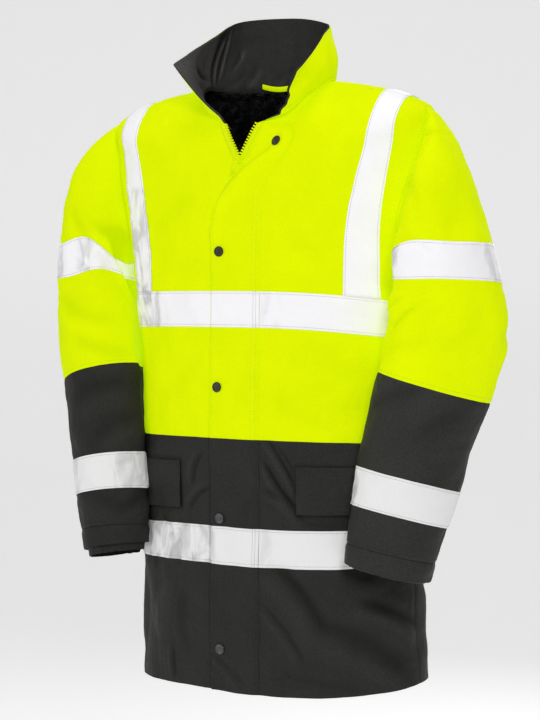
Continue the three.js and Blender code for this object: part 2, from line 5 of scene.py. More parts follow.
import bpy
import numpy as np
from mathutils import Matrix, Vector


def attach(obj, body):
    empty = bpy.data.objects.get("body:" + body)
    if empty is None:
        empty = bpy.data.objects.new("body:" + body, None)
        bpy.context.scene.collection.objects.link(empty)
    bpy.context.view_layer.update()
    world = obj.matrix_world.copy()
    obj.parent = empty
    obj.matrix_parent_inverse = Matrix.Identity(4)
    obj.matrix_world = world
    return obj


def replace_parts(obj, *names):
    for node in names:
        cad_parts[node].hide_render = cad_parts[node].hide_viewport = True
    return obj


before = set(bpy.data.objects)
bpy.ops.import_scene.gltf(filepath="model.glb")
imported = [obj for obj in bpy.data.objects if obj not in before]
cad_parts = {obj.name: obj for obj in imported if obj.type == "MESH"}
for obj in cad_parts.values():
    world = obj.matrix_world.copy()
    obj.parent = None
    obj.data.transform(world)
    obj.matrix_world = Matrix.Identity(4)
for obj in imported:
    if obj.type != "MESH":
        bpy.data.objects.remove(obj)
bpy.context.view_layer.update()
MM = 0.001  # a millimetre in metres
SIDES = (("right", -1), ("left", 1))


def table(columns, **rows):
    return {name: dict(zip(columns.split(), sizes)) for name, sizes in rows.items()}


# Body sections from the hem up, in mm: heights at centre front, left, right and centre back,
# half width, front, back and side depth, and squareness
TORSO = table(
    "frontZ leftZ rightZ backZ halfW frontY backY sideY square",
    hem=(-836, -822, -843, -835, 218, -91, 170, 34, 2.3),
    skirt=(-750, -735, -758, -748, 215, -92, 162, 28, 2.3),
    hipLow=(-661, -653, -669, -661, 213, -92, 160, 28, 2.3),
    hipHigh=(-609, -603, -620, -610, 213, -92, 158, 28, 2.3),
    pocket=(-550, -548, -558, -550, 213, -92, 155, 27, 2.3),
    waist=(-488, -489, -494, -489, 213, -92, 152, 26, 2.35),
    belly=(-412, -420, -418, -413, 213, -91, 150, 24, 2.4),
    chestLow=(-336, -351, -341, -337, 214, -90, 149, 20, 2.4),
    chestHigh=(-287, -302, -291, -288, 217, -89, 147, 16, 2.4),
    armpit=(-232, -228, -228, -232, 224, -88, 138, 11, 2.4),
    breast=(-190, -178, -178, -188, 236, -86, 127, 7, 2.4),
    yoke=(-148, -130, -130, -138, 244, -82, 112, 4, 2.4),
    notch=(-111, -84, -84, -80, 248, -77, 92, 0, 2.4),
    shoulder=(-93, -42, -42, -33, 248, -76, 70, -3, 2.4),
    slope=(-77, -14, -14, -12, 178, -75, 57, -3, 2.2),
    neck=(-62, 0, 0, -4, 103, -74, 48, -2, 2.0),
)
# Sleeve rings from the armhole down: outer and inner point, middle depth, turn, half depth,
# rise of the front, lateness of the fall, and what is left of the armhole's egg shape
SLEEVE = table(
    "outX outZ inX inZ midY turn deep rise fall egg",
    seam=(248, -42, 224, -228, 0, 0, 60, 0, 1, 1),
    head=(266, -60, 230, -236, -6, 2, 62, 0, 1.1, 0.6),
    cap=(288, -92, 230, -242, -14, -1, 69, 0, 1.4, 0.25),
    upper=(310, -142, 231, -248, -18, -1, 75, 0, 2, 0.05),
    biceps=(335, -224, 231, -254, -14, 5, 75, 2, 5, 0),
    arm=(347, -274, 226, -294, -9, 10, 76, 4, 3, 0),
    elbow=(356, -330, 213, -335, -7, 14, 78, 6, 1.6, 0),
    bend=(348, -380, 204, -364, -15, 12, 77, 8, 1.1, 0),
    colour=(333, -431, 197, -393, -21, 11, 76, 10, 1, 0),
    forearm=(317, -490, 185, -456, -31, 6, 71, 12, 1, 0),
    bandHigh=(303, -546, 173, -520, -38, 3, 67, 12, 1, 0),
    bandLow=(290, -594, 167, -571, -45, 2, 64, 12, 1, 0),
    wrist=(279, -641, 163, -621, -51, 1, 61, 10, 1, 0),
    cuff=(273, -667, 161, -646, -54, 1, 59, 8, 1, 0),
    mouth=(271, -677, 161, -656, -55, 1, 57, 6, 1, 0),
)
LEVELS, BODY = list(TORSO), list(TORSO.values())
RINGS, ARM = list(SLEEVE), list(SLEEVE.values())
level, ring = LEVELS.index, RINGS.index
NECK, NOTCH, PIT, TIP = level("neck"), level("notch"), level("armpit"), level("shoulder")
BODY_BAND_EDGES = [level(name) for name in ("hipLow", "hipHigh", "chestLow", "chestHigh")]
SLEEVE_BAND_EDGES = [ring(name) for name in ("biceps", "arm", "bandHigh", "bandLow")]


def blended(a, b, c, d, f):
    """The smooth curve from b to c at share f, between a before them and d after them."""
    return 0.5 * (2 * b + (c - a) * f + (2 * a - 5 * b + 4 * c - d) * f**2 + (3 * b - a - 3 * c + d) * f**3)


def through(values, t):
    """A smooth curve through values at whole numbers."""
    v = np.asarray(values, float)
    t = np.clip(t, 0, len(v) - 1)
    i = np.clip(np.floor(t).astype(int), 0, len(v) - 2)
    f = t - i
    v = np.concatenate([[2 * v[0] - v[1]], v, [2 * v[-1] - v[-2]]])
    return blended(v[i], v[i + 1], v[i + 2], v[i + 3], f)


def body_at(t, key):
    return through([row[key] for row in BODY], t)


def body(angle, t):
    """Outer face of the body: angle 0 at centre front, 90 at the wearer's left, 180 at centre back."""
    angle, t = np.broadcast_arrays(np.asarray(angle, float), np.asarray(t, float))
    s, c = np.sin(np.radians(angle)), np.cos(np.radians(angle))
    e = 2 / body_at(t, "square")
    side = body_at(t, "sideY")
    middle_y = np.where(c > 0, body_at(t, "frontY"), body_at(t, "backY"))
    side_z = np.where(s > 0, body_at(t, "leftZ"), body_at(t, "rightZ"))
    middle_z = np.where(c > 0, body_at(t, "frontZ"), body_at(t, "backZ"))
    x = body_at(t, "halfW") * np.sign(s) * np.abs(s) ** e
    y = side + (middle_y - side) * np.abs(c) ** e
    z = side_z + (middle_z - side_z) * np.abs(c) ** 1.6
    return np.stack([x, y, z], -1)


def angle_at_x(x, t):
    """The angle on the body's front at a distance x from its middle."""
    share = np.abs(x / body_at(t, "halfW")) ** (body_at(t, "square") / 2)
    return np.sign(x) * np.degrees(np.arcsin(np.minimum(share, 1)))


def normal_of(surface, u, v, du, dv, sign=1):
    """The normal of a surface of two numbers, from small steps in both."""
    across = surface(u + du, v) - surface(u - du, v)
    along = surface(u, v + dv) - surface(u, v - dv)
    n = sign * np.cross(across, along)
    return n / np.linalg.norm(n, axis=-1, keepdims=True)


def armhole_edge(turn):
    """Level and angle on the body of the armhole's egg."""
    s, c = np.sin(np.radians(turn)), np.cos(np.radians(turn))
    cut, high = np.where(s > 0, 30, 24), np.where(s > 0, 0.25, 0.4)
    fall = high + (1 - high) * ((1 - c) / 2) ** 1.3
    return (PIT + TIP) / 2 + (TIP - PIT) / 2 * c, 90 - np.sign(s) * cut * np.abs(s) ** 0.75 * fall


def sleeve_left(turn, v):
    """Outer face of the left sleeve: turn 0 outside, 90 in front, 180 against the body."""
    turn, v = np.broadcast_arrays(np.asarray(turn, float), np.asarray(v, float))
    s, c = np.sin(np.radians(turn)), np.cos(np.radians(turn))

    def rings_point(row):
        x = (row["outX"] + row["inX"]) / 2 + (row["outX"] - row["inX"]) / 2 * c
        y = row["midY"] + row["turn"] * c - row["deep"] * s
        z = row["outZ"] + (row["inZ"] - row["outZ"]) * ((1 - c) / 2) ** row["fall"] + row["rise"] * s
        return np.stack([x, y, z], -1)

    level_, angle = armhole_edge(turn)
    egg = body(angle, level_) - rings_point(ARM[0])
    points = [rings_point(row) + row["egg"] * egg for row in ARM]
    points = np.stack([2 * points[0] - points[1], *points, 2 * points[-1] - points[-2]])
    t = np.clip(v, 0, len(ARM) - 1)
    i = np.clip(np.floor(t).astype(int), 0, len(ARM) - 2)
    f = (t - i)[..., None]
    take = lambda k: np.take_along_axis(points, (i + k)[None, ..., None], 0)[0]
    point = blended(take(0), take(1), take(2), take(3), f)
    limit = body_side(point[..., 1], point[..., 2]) + SLEEVE_GAP
    pushed = limit + 0.5 * (point[..., 0] - limit + np.hypot(point[..., 0] - limit, 5))
    point[..., 0] += (pushed - point[..., 0]) * np.clip(v - 0.5, 0, 1)
    return point


SLEEVE_GAP = 10  # mm that a sleeve keeps from the body's side
SIDE_LEVELS = np.arange(0, PIT + 0.25, 0.25)
SIDE_HEIGHTS = body_at(SIDE_LEVELS, "leftZ")


def body_side(y, z):
    """How far out the body's side is at a depth and height."""
    t = SIDE_LEVELS[np.clip(np.searchsorted(SIDE_HEIGHTS, z), 0, len(SIDE_LEVELS) - 1)]
    side = body_at(t, "sideY")
    depth = np.abs(np.where(y < side, body_at(t, "frontY"), body_at(t, "backY")) - side)
    share = np.minimum(np.abs(y - side) / depth, 1) ** body_at(t, "square")
    return body_at(t, "halfW") * (1 - share) ** (1 / body_at(t, "square"))


WAIST_ANGLES = np.linspace(-180, 180, 1441)
WAIST_STEPS = np.linalg.norm(np.diff(body(WAIST_ANGLES, level("waist")), axis=0), axis=1)
WAIST_ROUND = np.concatenate([[0], np.cumsum(WAIST_STEPS)])
GIRTH = WAIST_ROUND[-1]
SLEEVE_ROUND = 68 * 2 * math.pi  # how far round a sleeve is, in mm
DEGREE = SLEEVE_ROUND / 360  # mm for each degree round a sleeve


def round_body(angle):
    """How far round the body an angle is, in mm from centre front."""
    return np.interp((np.asarray(angle, float) + 180) % 360 - 180, WAIST_ANGLES, WAIST_ROUND - GIRTH / 2)


def creased(a, b, creases, girth, shade=False):
    """Height of the cloth from its creases, at a mm round and at height b; shade counts sharp ones more."""
    out = np.zeros(np.broadcast(a, b).shape)
    for a0, b0, a1, b1, bow, width, depth, beside in creases:
        dx, dy = a1 - a0, b1 - b0
        x, y = (a - a0 + girth / 2) % girth - girth / 2, b - b0
        long = math.hypot(dx, dy)
        t = (x * dx + y * dy) / long**2
        s = (x * dy - y * dx) / long - bow * 4 * t * (1 - t)
        ends = np.clip(np.minimum(t + 0.2, 1.2 - t) / 0.45, 0, 1)
        ends = ends * ends * (3 - 2 * ends)
        more = (6 / width) ** 0.7 if shade else 1
        ridge = beside * np.exp(-(((s - 1.8 * width) / (1.3 * width)) ** 2))
        out += more * ends * (ridge - depth * np.exp(-((s / width) ** 2)))
    return out


def ripple(points, wave, seed, stretch=(1, 1, 1), count=7):
    """Uneven waves in space, about wave mm long, between about -1 and 1."""
    rng = np.random.default_rng(seed)
    out = 0
    for _ in range(count):
        way = rng.normal(size=3) * stretch
        way /= np.linalg.norm(way)
        out = out + np.sin(points @ way * (2 * math.pi / (wave * rng.uniform(0.7, 1.5))) + rng.uniform(0, 6.28))
    return out / math.sqrt(count / 2) / 1.4


def crumple(points, wave, seed):
    """Sharp-edged crinkles of thin cloth."""
    return 1 - 1.6 * np.abs(ripple(points, wave, seed, count=4)) + 0.3 * ripple(points, wave / 2.2, seed + 1)


def near(value, at, width):
    return np.exp(-(((value - at) / width) ** 2))


def span(value, low, high, soft):
    """1 between low and high, falling to 0 over soft on each side."""
    x = np.clip(np.minimum(value - low, high - value) / soft + 1, 0, 1)
    return x * x * (3 - 2 * x)


# Creases in mm: from and to (distance round from centre front, + to the wearer's left, and height),
# bow of the middle, width, depth (below 0 a ridge) and the ridge beside it
BODY_CREASES = [
    (52, -490, 92, -550, -3, 3.4, 4.4, 2.6),
    (46, -516, 92, -576, 3, 3.6, 4.4, 2.6),
    (64, -494, 90, -528, -2, 2.8, 2.4, 1.4),
    (50, -556, 104, -594, -6, 4.5, 3.0, 1.8),
    (104, -596, 180, -596, 4, 6, 2.43, -1.35),
    (58, -655, 132, -742, -7, 11, 6.2, 3.5),
    (126, -736, 250, -800, -10, 15, 5.94, 3.51),
    (46, -712, 106, -786, -4, 5, 2.8, 1.9),
    (182, -700, 275, -742, -5, 9, 4.6, 2.8),
    (150, -640, 215, -668, 5, 10, 2.7, 1.62),
    (70, -800, 190, -822, 3, 10, 2.16, 1.08),
    (-56, -510, -72, -556, 6, 4, 3.0, 2.0),
    (-44, -556, -84, -590, 4, 4, 2.8, 1.8),
    (-150, -600, -96, -640, 4, 9, 2.7, 1.62),
    (-118, -690, -140, -770, 4, 16, -4.59, 0),
    (-96, -700, -80, -790, 6, 12, 3.24, 0),
    (-112, -786, -108, -830, 0, 3, 2.6, 1.6),
    (-200, -700, -190, -800, 0, 16, 4.05, 2.16),
    (150, -60, 120, -170, 16, 20, -3.24, 0),
    (60, -210, 130, -262, -8, 20, 2.16, 1.08),
    (100, -350, 180, -400, 8, 20, 2.97, 1.35),
    (60, -430, 150, -470, 8, 18, 2.7, 1.08),
    (-60, -150, -150, -240, 12, 18, 2.7, 1.35),
    (-60, -380, -150, -440, -8, 18, 2.97, 1.35),
    (-70, -340, -100, -372, 4, 12, 2.16, 1.08),
    (205, -270, 262, -330, -6, 14, 4.59, 2.43),
    (-205, -270, -262, -330, 6, 14, 4.59, 2.43),
    (220, -350, 300, -380, -6, 14, 3.51, 1.89),
    (-220, -350, -300, -380, 6, 14, 3.51, 1.89),
    (300, -300, 400, -240, 10, 18, 4.05, 2.16),
    (-300, -300, -400, -240, -10, 18, 4.05, 2.16),
    (330, -420, 460, -372, 12, 20, 3.51, 1.89),
    (-330, -410, -450, -380, -12, 20, 3.51, 1.89),
    (430, -150, 540, -120, -10, 22, 3.24, 1.62),
    (-430, -160, -540, -130, 10, 22, 3.24, 1.62),
    (300, -520, 380, -590, 8, 12, 4.05, 2.16),
    (-300, -510, -390, -580, -8, 12, 4.05, 2.16),
    (420, -500, 530, -560, 8, 16, 3.51, 1.89),
    (-410, -520, -520, -540, -10, 16, 3.24, 1.62),
    (320, -680, 420, -760, -10, 16, 5.67, 2.97),
    (-330, -690, -430, -790, 10, 16, 5.67, 2.97),
    (470, -670, 540, -790, 8, 18, 4.59, 2.43),
    (-480, -680, -530, -760, -8, 18, 3.78, 1.89),
]
# The same on the sleeves: degrees round (0 outside, 90 in front) and height, then mm
LEFT_CREASES = [
    (60, -84, 8, -80, 4, 4, 3.4, 2.2),
    (150, -360, 96, -302, 6, 5, 5.4, 3.4),
    (160, -388, 84, -352, 8, 11, 4.59, 2.97),
    (150, -330, 120, -296, 4, 3.5, 3.0, 1.8),
    (30, -300, 66, -366, 8, 13, 3.24, 1.89),
    (10, -180, 52, -212, -6, 15, 2.7, 1.62),
    (110, -130, 84, -196, 8, 14, 3.24, 1.62),
    (120, -220, 80, -236, 5, 9, 2.97, 1.62),
    (130, -440, 70, -412, 6, 10, 2.97, 1.62),
    (60, -470, 20, -440, 6, 14, 3.51, 1.89),
    (110, -520, 60, -560, -6, 12, 2.43, 1.35),
    (20, -520, 60, -545, 5, 13, 2.43, 1.35),
    (-60, -320, 0, -346, 8, 14, 4.05, 2.43),
    (-150, -340, -80, -316, -8, 12, 5.4, 2.97),
    (-160, -390, -90, -372, -8, 12, 4.59, 2.7),
    (-40, -160, -100, -200, 8, 18, 3.51, 1.89),
    (-50, -440, -110, -470, 8, 16, 3.78, 1.89),
    (-40, -560, -100, -540, 6, 14, 2.97, 1.62),
]
RIGHT_CREASES = [
    (126, -198, 186, -288, -6, 5, 7.0, 4.2),
    (124, -128, 182, -178, -4, 2.8, 3.2, 2.0),
    (84, -172, 130, -214, 4, 9, 2.97, 1.89),
    (70, -300, 140, -330, 6, 12, 3.51, 2.16),
    (90, -352, 170, -380, 6, 12, 3.78, 2.16),
    (60, -240, 100, -262, 4, 12, 2.16, 1.35),
    (80, -440, 150, -420, -6, 12, 3.24, 1.89),
    (100, -500, 160, -470, -6, 12, 2.7, 1.62),
    (70, -560, 130, -590, 6, 12, 2.43, 1.35),
    (120, -600, 170, -570, 4, 9, 2.43, 1.35),
    (-60, -320, 0, -346, 8, 14, 4.05, 2.43),
    (-150, -340, -80, -316, -8, 12, 5.4, 2.97),
    (-160, -390, -90, -372, -8, 12, 4.59, 2.7),
    (-30, -150, -90, -190, 8, 18, 3.51, 1.89),
    (-40, -450, -100, -480, 8, 16, 3.78, 1.89),
    (-50, -570, -110, -548, 6, 14, 2.97, 1.62),
]
# Where the tape is crushed: from and to round the body, from and to in height, and how much. Crushed tape crinkles, and
# its finish paints the crinkles grey with shade.
BODY_CRUSHED = [
    (-168, -50, -668, -604, 1.0),
    (-195, -150, -345, -285, 0.9),
    (62, 76, -345, -290, 0.3),
    (56, 68, -668, -604, 0.3),
    (-240, -165, -300, -150, 0.8),
    (420, 520, -345, -285, 0.7),
    (-540, -440, -668, -604, 0.9),
    (260, 330, -668, -604, 0.9),
]
SLEEVE_CRUSHED = {
    1: [
        (128, 178, -330, -200, 1.1),
        (-150, -60, -330, -260, 0.8),
        (132, 172, -620, -500, 0.9),
        (-20, 8, -330, -200, 0.5),
    ],
    -1: [
        (10, 70, -330, -200, 0.8),
        (112, 140, -330, -200, 0.8),
        (-150, -60, -330, -260, 0.8),
        (20, 60, -620, -500, 0.5),
        (130, 170, -620, -500, 0.7),
    ],
}


def crushed(a, b, patches, girth):
    """How much the cloth is crushed at a place round and a height."""
    out = 0 * (a + b)
    for a0, a1, b0, b1, size in patches:
        x = (a - (a0 + a1) / 2 + girth / 2) % girth - girth / 2
        out = out + size * span(x, (a0 - a1) / 2, (a1 - a0) / 2, 14) * span(b, b0, b1, 12)
    return out


def crinkles(points):
    return crumple(points, 30, 71)


def body_crushed(p):
    """How crushed the body's cloth is near places on it: the mask for the painted grey shade of the tape's crinkles."""
    angle = np.degrees(np.arctan2(p[..., 0] / 213, -(p[..., 1] - 27) / 119))
    return crushed(round_body(angle), p[..., 2], BODY_CRUSHED, GIRTH)


def body_relief(angle, t, p):
    a, b = round_body(angle), p[..., 2]
    still = 1 - 0.65 * span(t, TIP - 0.6, NECK + 1, 0.6)
    out = creased(a, b, BODY_CREASES, GIRTH) + still * (1.5 * ripple(p, 150, 3) + 0.8 * ripple(p, 52, 4))
    out = out + 0.22 * ripple(p, 17, 5)
    puckers = sum(near(t, k, 0.22) for k in BODY_BAND_EDGES) + near(t, level("waist"), 0.12)
    out = out + 0.32 * puckers * ripple(p, 15, 6, (1, 1, 0.15))
    return out + crushed(a, b, BODY_CRUSHED, GIRTH) * crinkles(p)


def mitre(turn):
    """The way that body and left sleeve both face at their seam."""
    edge_level, edge_angle = armhole_edge(turn)
    n = normal_of(body, edge_angle, edge_level, 0.6, 0.02) + normal_of(sleeve_left, turn, 0.3 + 0 * turn, 1.5, 0.02)
    return n / np.linalg.norm(n, axis=-1, keepdims=True)


def neck_mitre(angle):
    """The way that body and collar both face at the neck seam."""
    up = body(angle, NECK)
    out = up * [1, 1, 0] / np.linalg.norm(up[..., :2], axis=-1)[..., None]
    n = normal_of(body, angle, NECK - 0.03 + 0 * angle, 0.6, 0.02) + out
    return n / np.linalg.norm(n, axis=-1, keepdims=True)


def towards(n, other, share):
    n = n + (other - n) * share[..., None]
    return n / np.linalg.norm(n, axis=-1, keepdims=True)


def body_skin(angle, t):
    """A place on the creased body, and the smooth body's normal there, which turns to the mitre at the armhole."""
    angle, t = np.broadcast_arrays(np.asarray(angle, float), np.asarray(t, float))
    n = normal_of(body, angle, np.clip(t, 0.03, NECK - 0.03), 0.6, 0.02)
    p = body(angle, t)
    round_ = (angle + 180) % 360 - 180
    side, front = np.sign(round_), np.abs(round_) < 90
    turn = np.degrees(np.arccos(np.clip((2 * t - PIT - TIP) / (TIP - PIT), -1, 1))) * np.where(front, 1, -1)
    edge_level, edge_angle = armhole_edge(turn)
    gap = np.linalg.norm(body(edge_angle, edge_level) - p * np.stack([side, side**2, side**2], -1), axis=-1)
    flip = np.stack([np.where(side < 0, -1, 1), 1 + 0 * side, 1 + 0 * side], -1)
    n = towards(n, mitre(turn) * flip, np.exp(-((gap / 9) ** 2)))
    n = towards(n, neck_mitre(angle), np.clip((t - NECK + 0.35) / 0.35, 0, 1) ** 2)
    return p + n * body_relief(angle, t, p)[..., None], n


# Where a sleeve stands out fuller: degrees round and how wide, from and to in height, and how far in mm
SLEEVE_BULGES = {1: [(138, 34, -300, -236, 11)], -1: [(180, 40, -610, -400, 5), (10, 60, -110, -70, 5)]}


def sleeve_folds(side, turn, p, shade=False):
    creases = LEFT_CREASES if side > 0 else RIGHT_CREASES
    creases = [(a0 * DEGREE, b0, a1 * DEGREE, b1, *rest) for a0, b0, a1, b1, *rest in creases]
    return creased(turn * DEGREE, p[..., 2], creases, SLEEVE_ROUND, shade)


def sleeve_patches(side):
    return [(a0 * DEGREE, a1 * DEGREE, *rest) for a0, a1, *rest in SLEEVE_CRUSHED[side]]


def sleeve_skin(side, turn, v):
    """A place on a creased sleeve and its normal, which turns to the mitre at the armhole."""
    turn, v = np.broadcast_arrays(np.asarray(turn, float), np.asarray(v, float))
    n = normal_of(sleeve_left, turn, np.clip(v, 0.03, len(ARM) - 1.03), 1.5, 0.02)
    p = sleeve_left(turn, v)
    out = sleeve_folds(side, turn, p)
    out = out + 1.1 * ripple(p, 110, 12 + side) + 0.6 * ripple(p, 45, 15 + side) + 0.22 * ripple(p, 16, 17 + side)
    puckers = sum(near(v, k, 0.22) for k in SLEEVE_BAND_EDGES)
    puckers = puckers + near(v, ring("colour"), 0.12) + near(v, ring("wrist"), 0.2)
    out = out + 0.32 * puckers * ripple(p, 14, 18 + side, (1, 1, 0.15))
    out = out + crushed(turn * DEGREE, p[..., 2], sleeve_patches(side), SLEEVE_ROUND) * crinkles(p)
    gather = near(v, 0.1, 0.25) * (1 - near(turn % 360, 180, 60))
    out = out + 0.5 * gather * ripple(p, 16, 21 + side)
    for at, wide, low, high, size in SLEEVE_BULGES[side]:
        out = out + size * near((turn - at + 180) % 360 - 180, 0, wide) * span(p[..., 2], low, high, 40)
    away = np.clip(body_side(p[..., 1], p[..., 2]) + SLEEVE_GAP + 3 - p[..., 0], 0, 3) / 3 * np.clip(v - 0.3, 0, 1)
    out = out * (1 - 0.75 * away)
    start = np.clip(v / 0.35, 0, 1)
    edge_level, edge_angle = armhole_edge(turn)
    on_body = body(edge_angle, edge_level)
    out = out * start + (1 - start) * body_relief(side * edge_angle, edge_level, on_body * [side, 1, 1])
    n = towards(n, mitre(turn), np.clip(1 - v / 0.6, 0, 1) ** 2)
    p = p + n * out[..., None]
    return p * [side, 1, 1], n * [side, 1, 1]


def runs(points):
    """Distance along each line of points, over axis 0."""
    step = np.linalg.norm(np.diff(points, axis=0), axis=-1)
    return np.concatenate([np.zeros((1, *step.shape[1:])), np.cumsum(step, 0)])


def evenly(low, high, place, spacing):
    """Values from low to high whose places are about spacing mm apart, closer at the edges."""
    fine = np.linspace(low, high, 400)
    way = np.linalg.norm(np.diff(place(fine), axis=0), axis=-1)
    way = np.concatenate([[0], np.cumsum(way.max(axis=tuple(range(1, way.ndim))) if way.ndim > 1 else way)])
    total = way[-1]
    at = list(np.linspace(0, total, max(int(round(total / spacing)), 2) + 1))
    close = [0.7, 1.8]
    at += close + [total - c for c in close]
    return np.interp(sorted(at), way, fine)


def shell(name, P, N, low, high, looks, joined=False, seams="", sink=1.1, wide=4.0, rough=None, fold_shading=None):
    """A thin cloth shell between two offsets of a grid of places in mm. seams names the sewn edges,
    which sink: b first row, t last row, l first column, r last column. rough says how crushed it is,
    a mask for painted grey shade on tape, and fold_shading the painted shade and highlight of its creases."""
    rows, cols = P.shape[:2]
    along, across = runs(P), np.moveaxis(runs(np.moveaxis(P, 1, 0)), 0, 1)
    gaps = {"b": along, "t": along[-1] - along, "l": across, "r": across[:, -1:] - across}
    dip = sum(sink * np.exp(-((gaps[k] / wide) ** 1.3)) for k in seams) if seams else np.zeros((rows, cols))
    outer = P + N * (high - dip)[..., None]
    inner = P + N * (low - dip * 0.4)[..., None]
    index = np.arange(rows * cols).reshape(rows, cols)
    if joined:
        index = np.concatenate([index, index[:, :1]], 1)
    a, b, c, d = index[:-1, :-1], index[:-1, 1:], index[1:, 1:], index[1:, :-1]
    quads = np.stack([a, b, c, d], -1).reshape(-1, 4)
    n = rows * cols
    faces = [quads, quads[:, ::-1] + n]
    loops = [index[0], index[-1][::-1]] if joined else []
    if not joined:
        loops = [np.concatenate([index[0], index[1:, -1], index[-1, -2::-1], index[-2:0:-1, 0], index[:1, 0]])]
    loops = [loop[:-1] for loop in loops]
    middle, count = [], 2 * n
    for ring_ in loops:
        middle.append((outer.reshape(-1, 3)[ring_] + inner.reshape(-1, 3)[ring_]) / 2)
        ids = np.arange(count, count + len(ring_))
        count += len(ring_)
        ids, ring_ = np.append(ids, ids[0]), np.append(ring_, ring_[0])
        faces.append(np.stack([ring_[1:], ring_[:-1], ids[:-1], ids[1:]], -1))
        faces.append(np.stack([ids[1:], ids[:-1], ring_[:-1] + n, ring_[1:] + n], -1))
    points = np.concatenate([outer.reshape(-1, 3), inner.reshape(-1, 3), *middle])
    faces = np.concatenate(faces)
    corner = points[faces]
    volume = np.einsum("ij,ij->", corner[:, 0], np.cross(corner[:, 1], corner[:, 2]))
    volume += np.einsum("ij,ij->", corner[:, 0], np.cross(corner[:, 2], corner[:, 3]))
    if volume < 0:
        faces = faces[:, ::-1]
    mesh = bpy.data.meshes.new(name)
    mesh.from_pydata((points * MM).tolist(), [], faces.tolist())
    mesh.polygons.foreach_set("use_smooth", np.ones(len(faces), bool))
    for look in looks:
        mesh.materials.append(look)
    if len(looks) > 1:
        kind = np.zeros(len(faces), np.int32)
        kind[len(quads) : 2 * len(quads)] = 1
        mesh.polygons.foreach_set("material_index", kind)
    flat = np.zeros((len(points), 2))
    flat[:n, 0], flat[:n, 1] = across.ravel(), along.ravel()
    flat[n : 2 * n] = flat[:n]
    flat[2 * n :] = flat[np.concatenate(loops)]
    uv = mesh.uv_layers.new(name="cut").data
    uv.foreach_set("uv", (flat[faces.ravel()] * MM).astype(np.float32).ravel())
    # Attributes for the finish: crushed masks the tape's painted grey shade, fold_shading holds painted shade and
    # highlight.
    for label, amount in (("crushed", rough), ("fold_shading", fold_shading)):
        if amount is not None:
            every = np.zeros(len(points), np.float32)
            every[: 2 * n] = np.tile(amount.ravel(), 2)
            mesh.attributes.new(label, "FLOAT", "POINT").data.foreach_set("value", every)
    mesh.update()
    return place(bpy.data.objects.new(name, mesh))


def place(obj):
    bpy.context.collection.objects.link(obj)
    return obj


def cloth(obj, node):
    """Puts a piece of cloth in a solid's place: hides the solid and hangs the piece on the jacket."""
    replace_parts(obj, node)
    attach(obj, "jacket")
    return obj


EASE = 1.02  # cut size over the smooth form's


def cut_size(P):
    """The flat width, length and area that a smooth piece of cloth is cut to, with some ease."""
    across = runs(np.moveaxis(P, 1, 0))[-1].max() * EASE
    along = runs(P)[-1].max() * EASE
    a, b, c, d = P[:-1, :-1], P[:-1, 1:], P[1:, 1:], P[1:, :-1]
    area = (np.linalg.norm(np.cross(b - a, c - a), axis=-1) + np.linalg.norm(np.cross(c - a, d - a), axis=-1)).sum() / 2
    across, along = max(across, 10.1), max(along, 10.1)
    area = min(max(area * EASE, 0.31 * across * along), across * along)
    return (across, along), area * MM * MM


class Value:
    """A number socket that takes + - * and min, and adds their Math nodes."""

    def __init__(self, finish, socket):
        self.finish, self.socket = finish, socket

    def math(self, operation, *others):
        numbers = {f"_{i}": v for i, v in enumerate((self, *others))}
        return self.finish.node("ShaderNodeMath", {"operation": operation}, **numbers)

    __add__ = __radd__ = lambda self, other: self.math("ADD", other)
    __mul__ = __rmul__ = lambda self, other: self.math("MULTIPLY", other)
    __sub__ = lambda self, other: self.math("SUBTRACT", other)
    __rsub__ = lambda self, other: (self * -1) + other

    def sine(self):
        return self.math("SINE")

    def between(self, low, high):
        return self.finish.node("ShaderNodeMapRange", None, Value=self, From_Min=low, From_Max=high)


class Finish:
    """A material, with one method that adds any node."""

    def __init__(self, name):
        self.material = bpy.data.materials.new(name)
        self.material.use_nodes = True
        self.tree = self.material.node_tree
        self.tree.nodes.clear()

    def node(self, kind, settings=None, out=0, **sockets):
        made = self.tree.nodes.new(kind)
        for key, value in (settings or {}).items():
            setattr(made, key, value)
        for key, value in sockets.items():
            socket = made.inputs[int(key[1:])] if key[0] == "_" else made.inputs[key.replace("_", " ")]
            if isinstance(value, Value):
                self.tree.links.new(value.socket, socket)
            else:
                socket.default_value = value
        return Value(self, made.outputs[out])

    def place(self):
        return self.node("ShaderNodeTexCoord", out=3)

    def cut(self):
        """Width and length on the flat cloth, in metres."""
        flat = self.node("ShaderNodeUVMap", {"uv_map": "cut"})
        return [self.node("ShaderNodeSeparateXYZ", out=axis, Vector=flat) for axis in (0, 1)]

    def noise(self, scale, detail=3.0, rough=0.5, where=None):
        where = where or self.place()
        return self.node("ShaderNodeTexNoise", Vector=where, Scale=scale, Detail=detail, Roughness=rough)

    def blend(self, share, low, high):
        return self.node("ShaderNodeMix", {"data_type": "RGBA"}, out=2, _0=share, _6=low, _7=high)

    def bump(self, height, metres, under=None):
        more = {"Normal": under} if under else {}
        return self.node("ShaderNodeBump", Height=height, Distance=metres, Strength=1.0, **more)

    def done(self, **sockets):
        shader = self.node("ShaderNodeBsdfPrincipled", **sockets)
        out = self.tree.nodes.new("ShaderNodeOutputMaterial")
        self.tree.links.new(shader.socket, out.inputs["Surface"])
        return self.material


def glowing(colour, strength=1.0):
    return {"Emission_Color": colour, "Emission_Strength": strength} if colour else {}


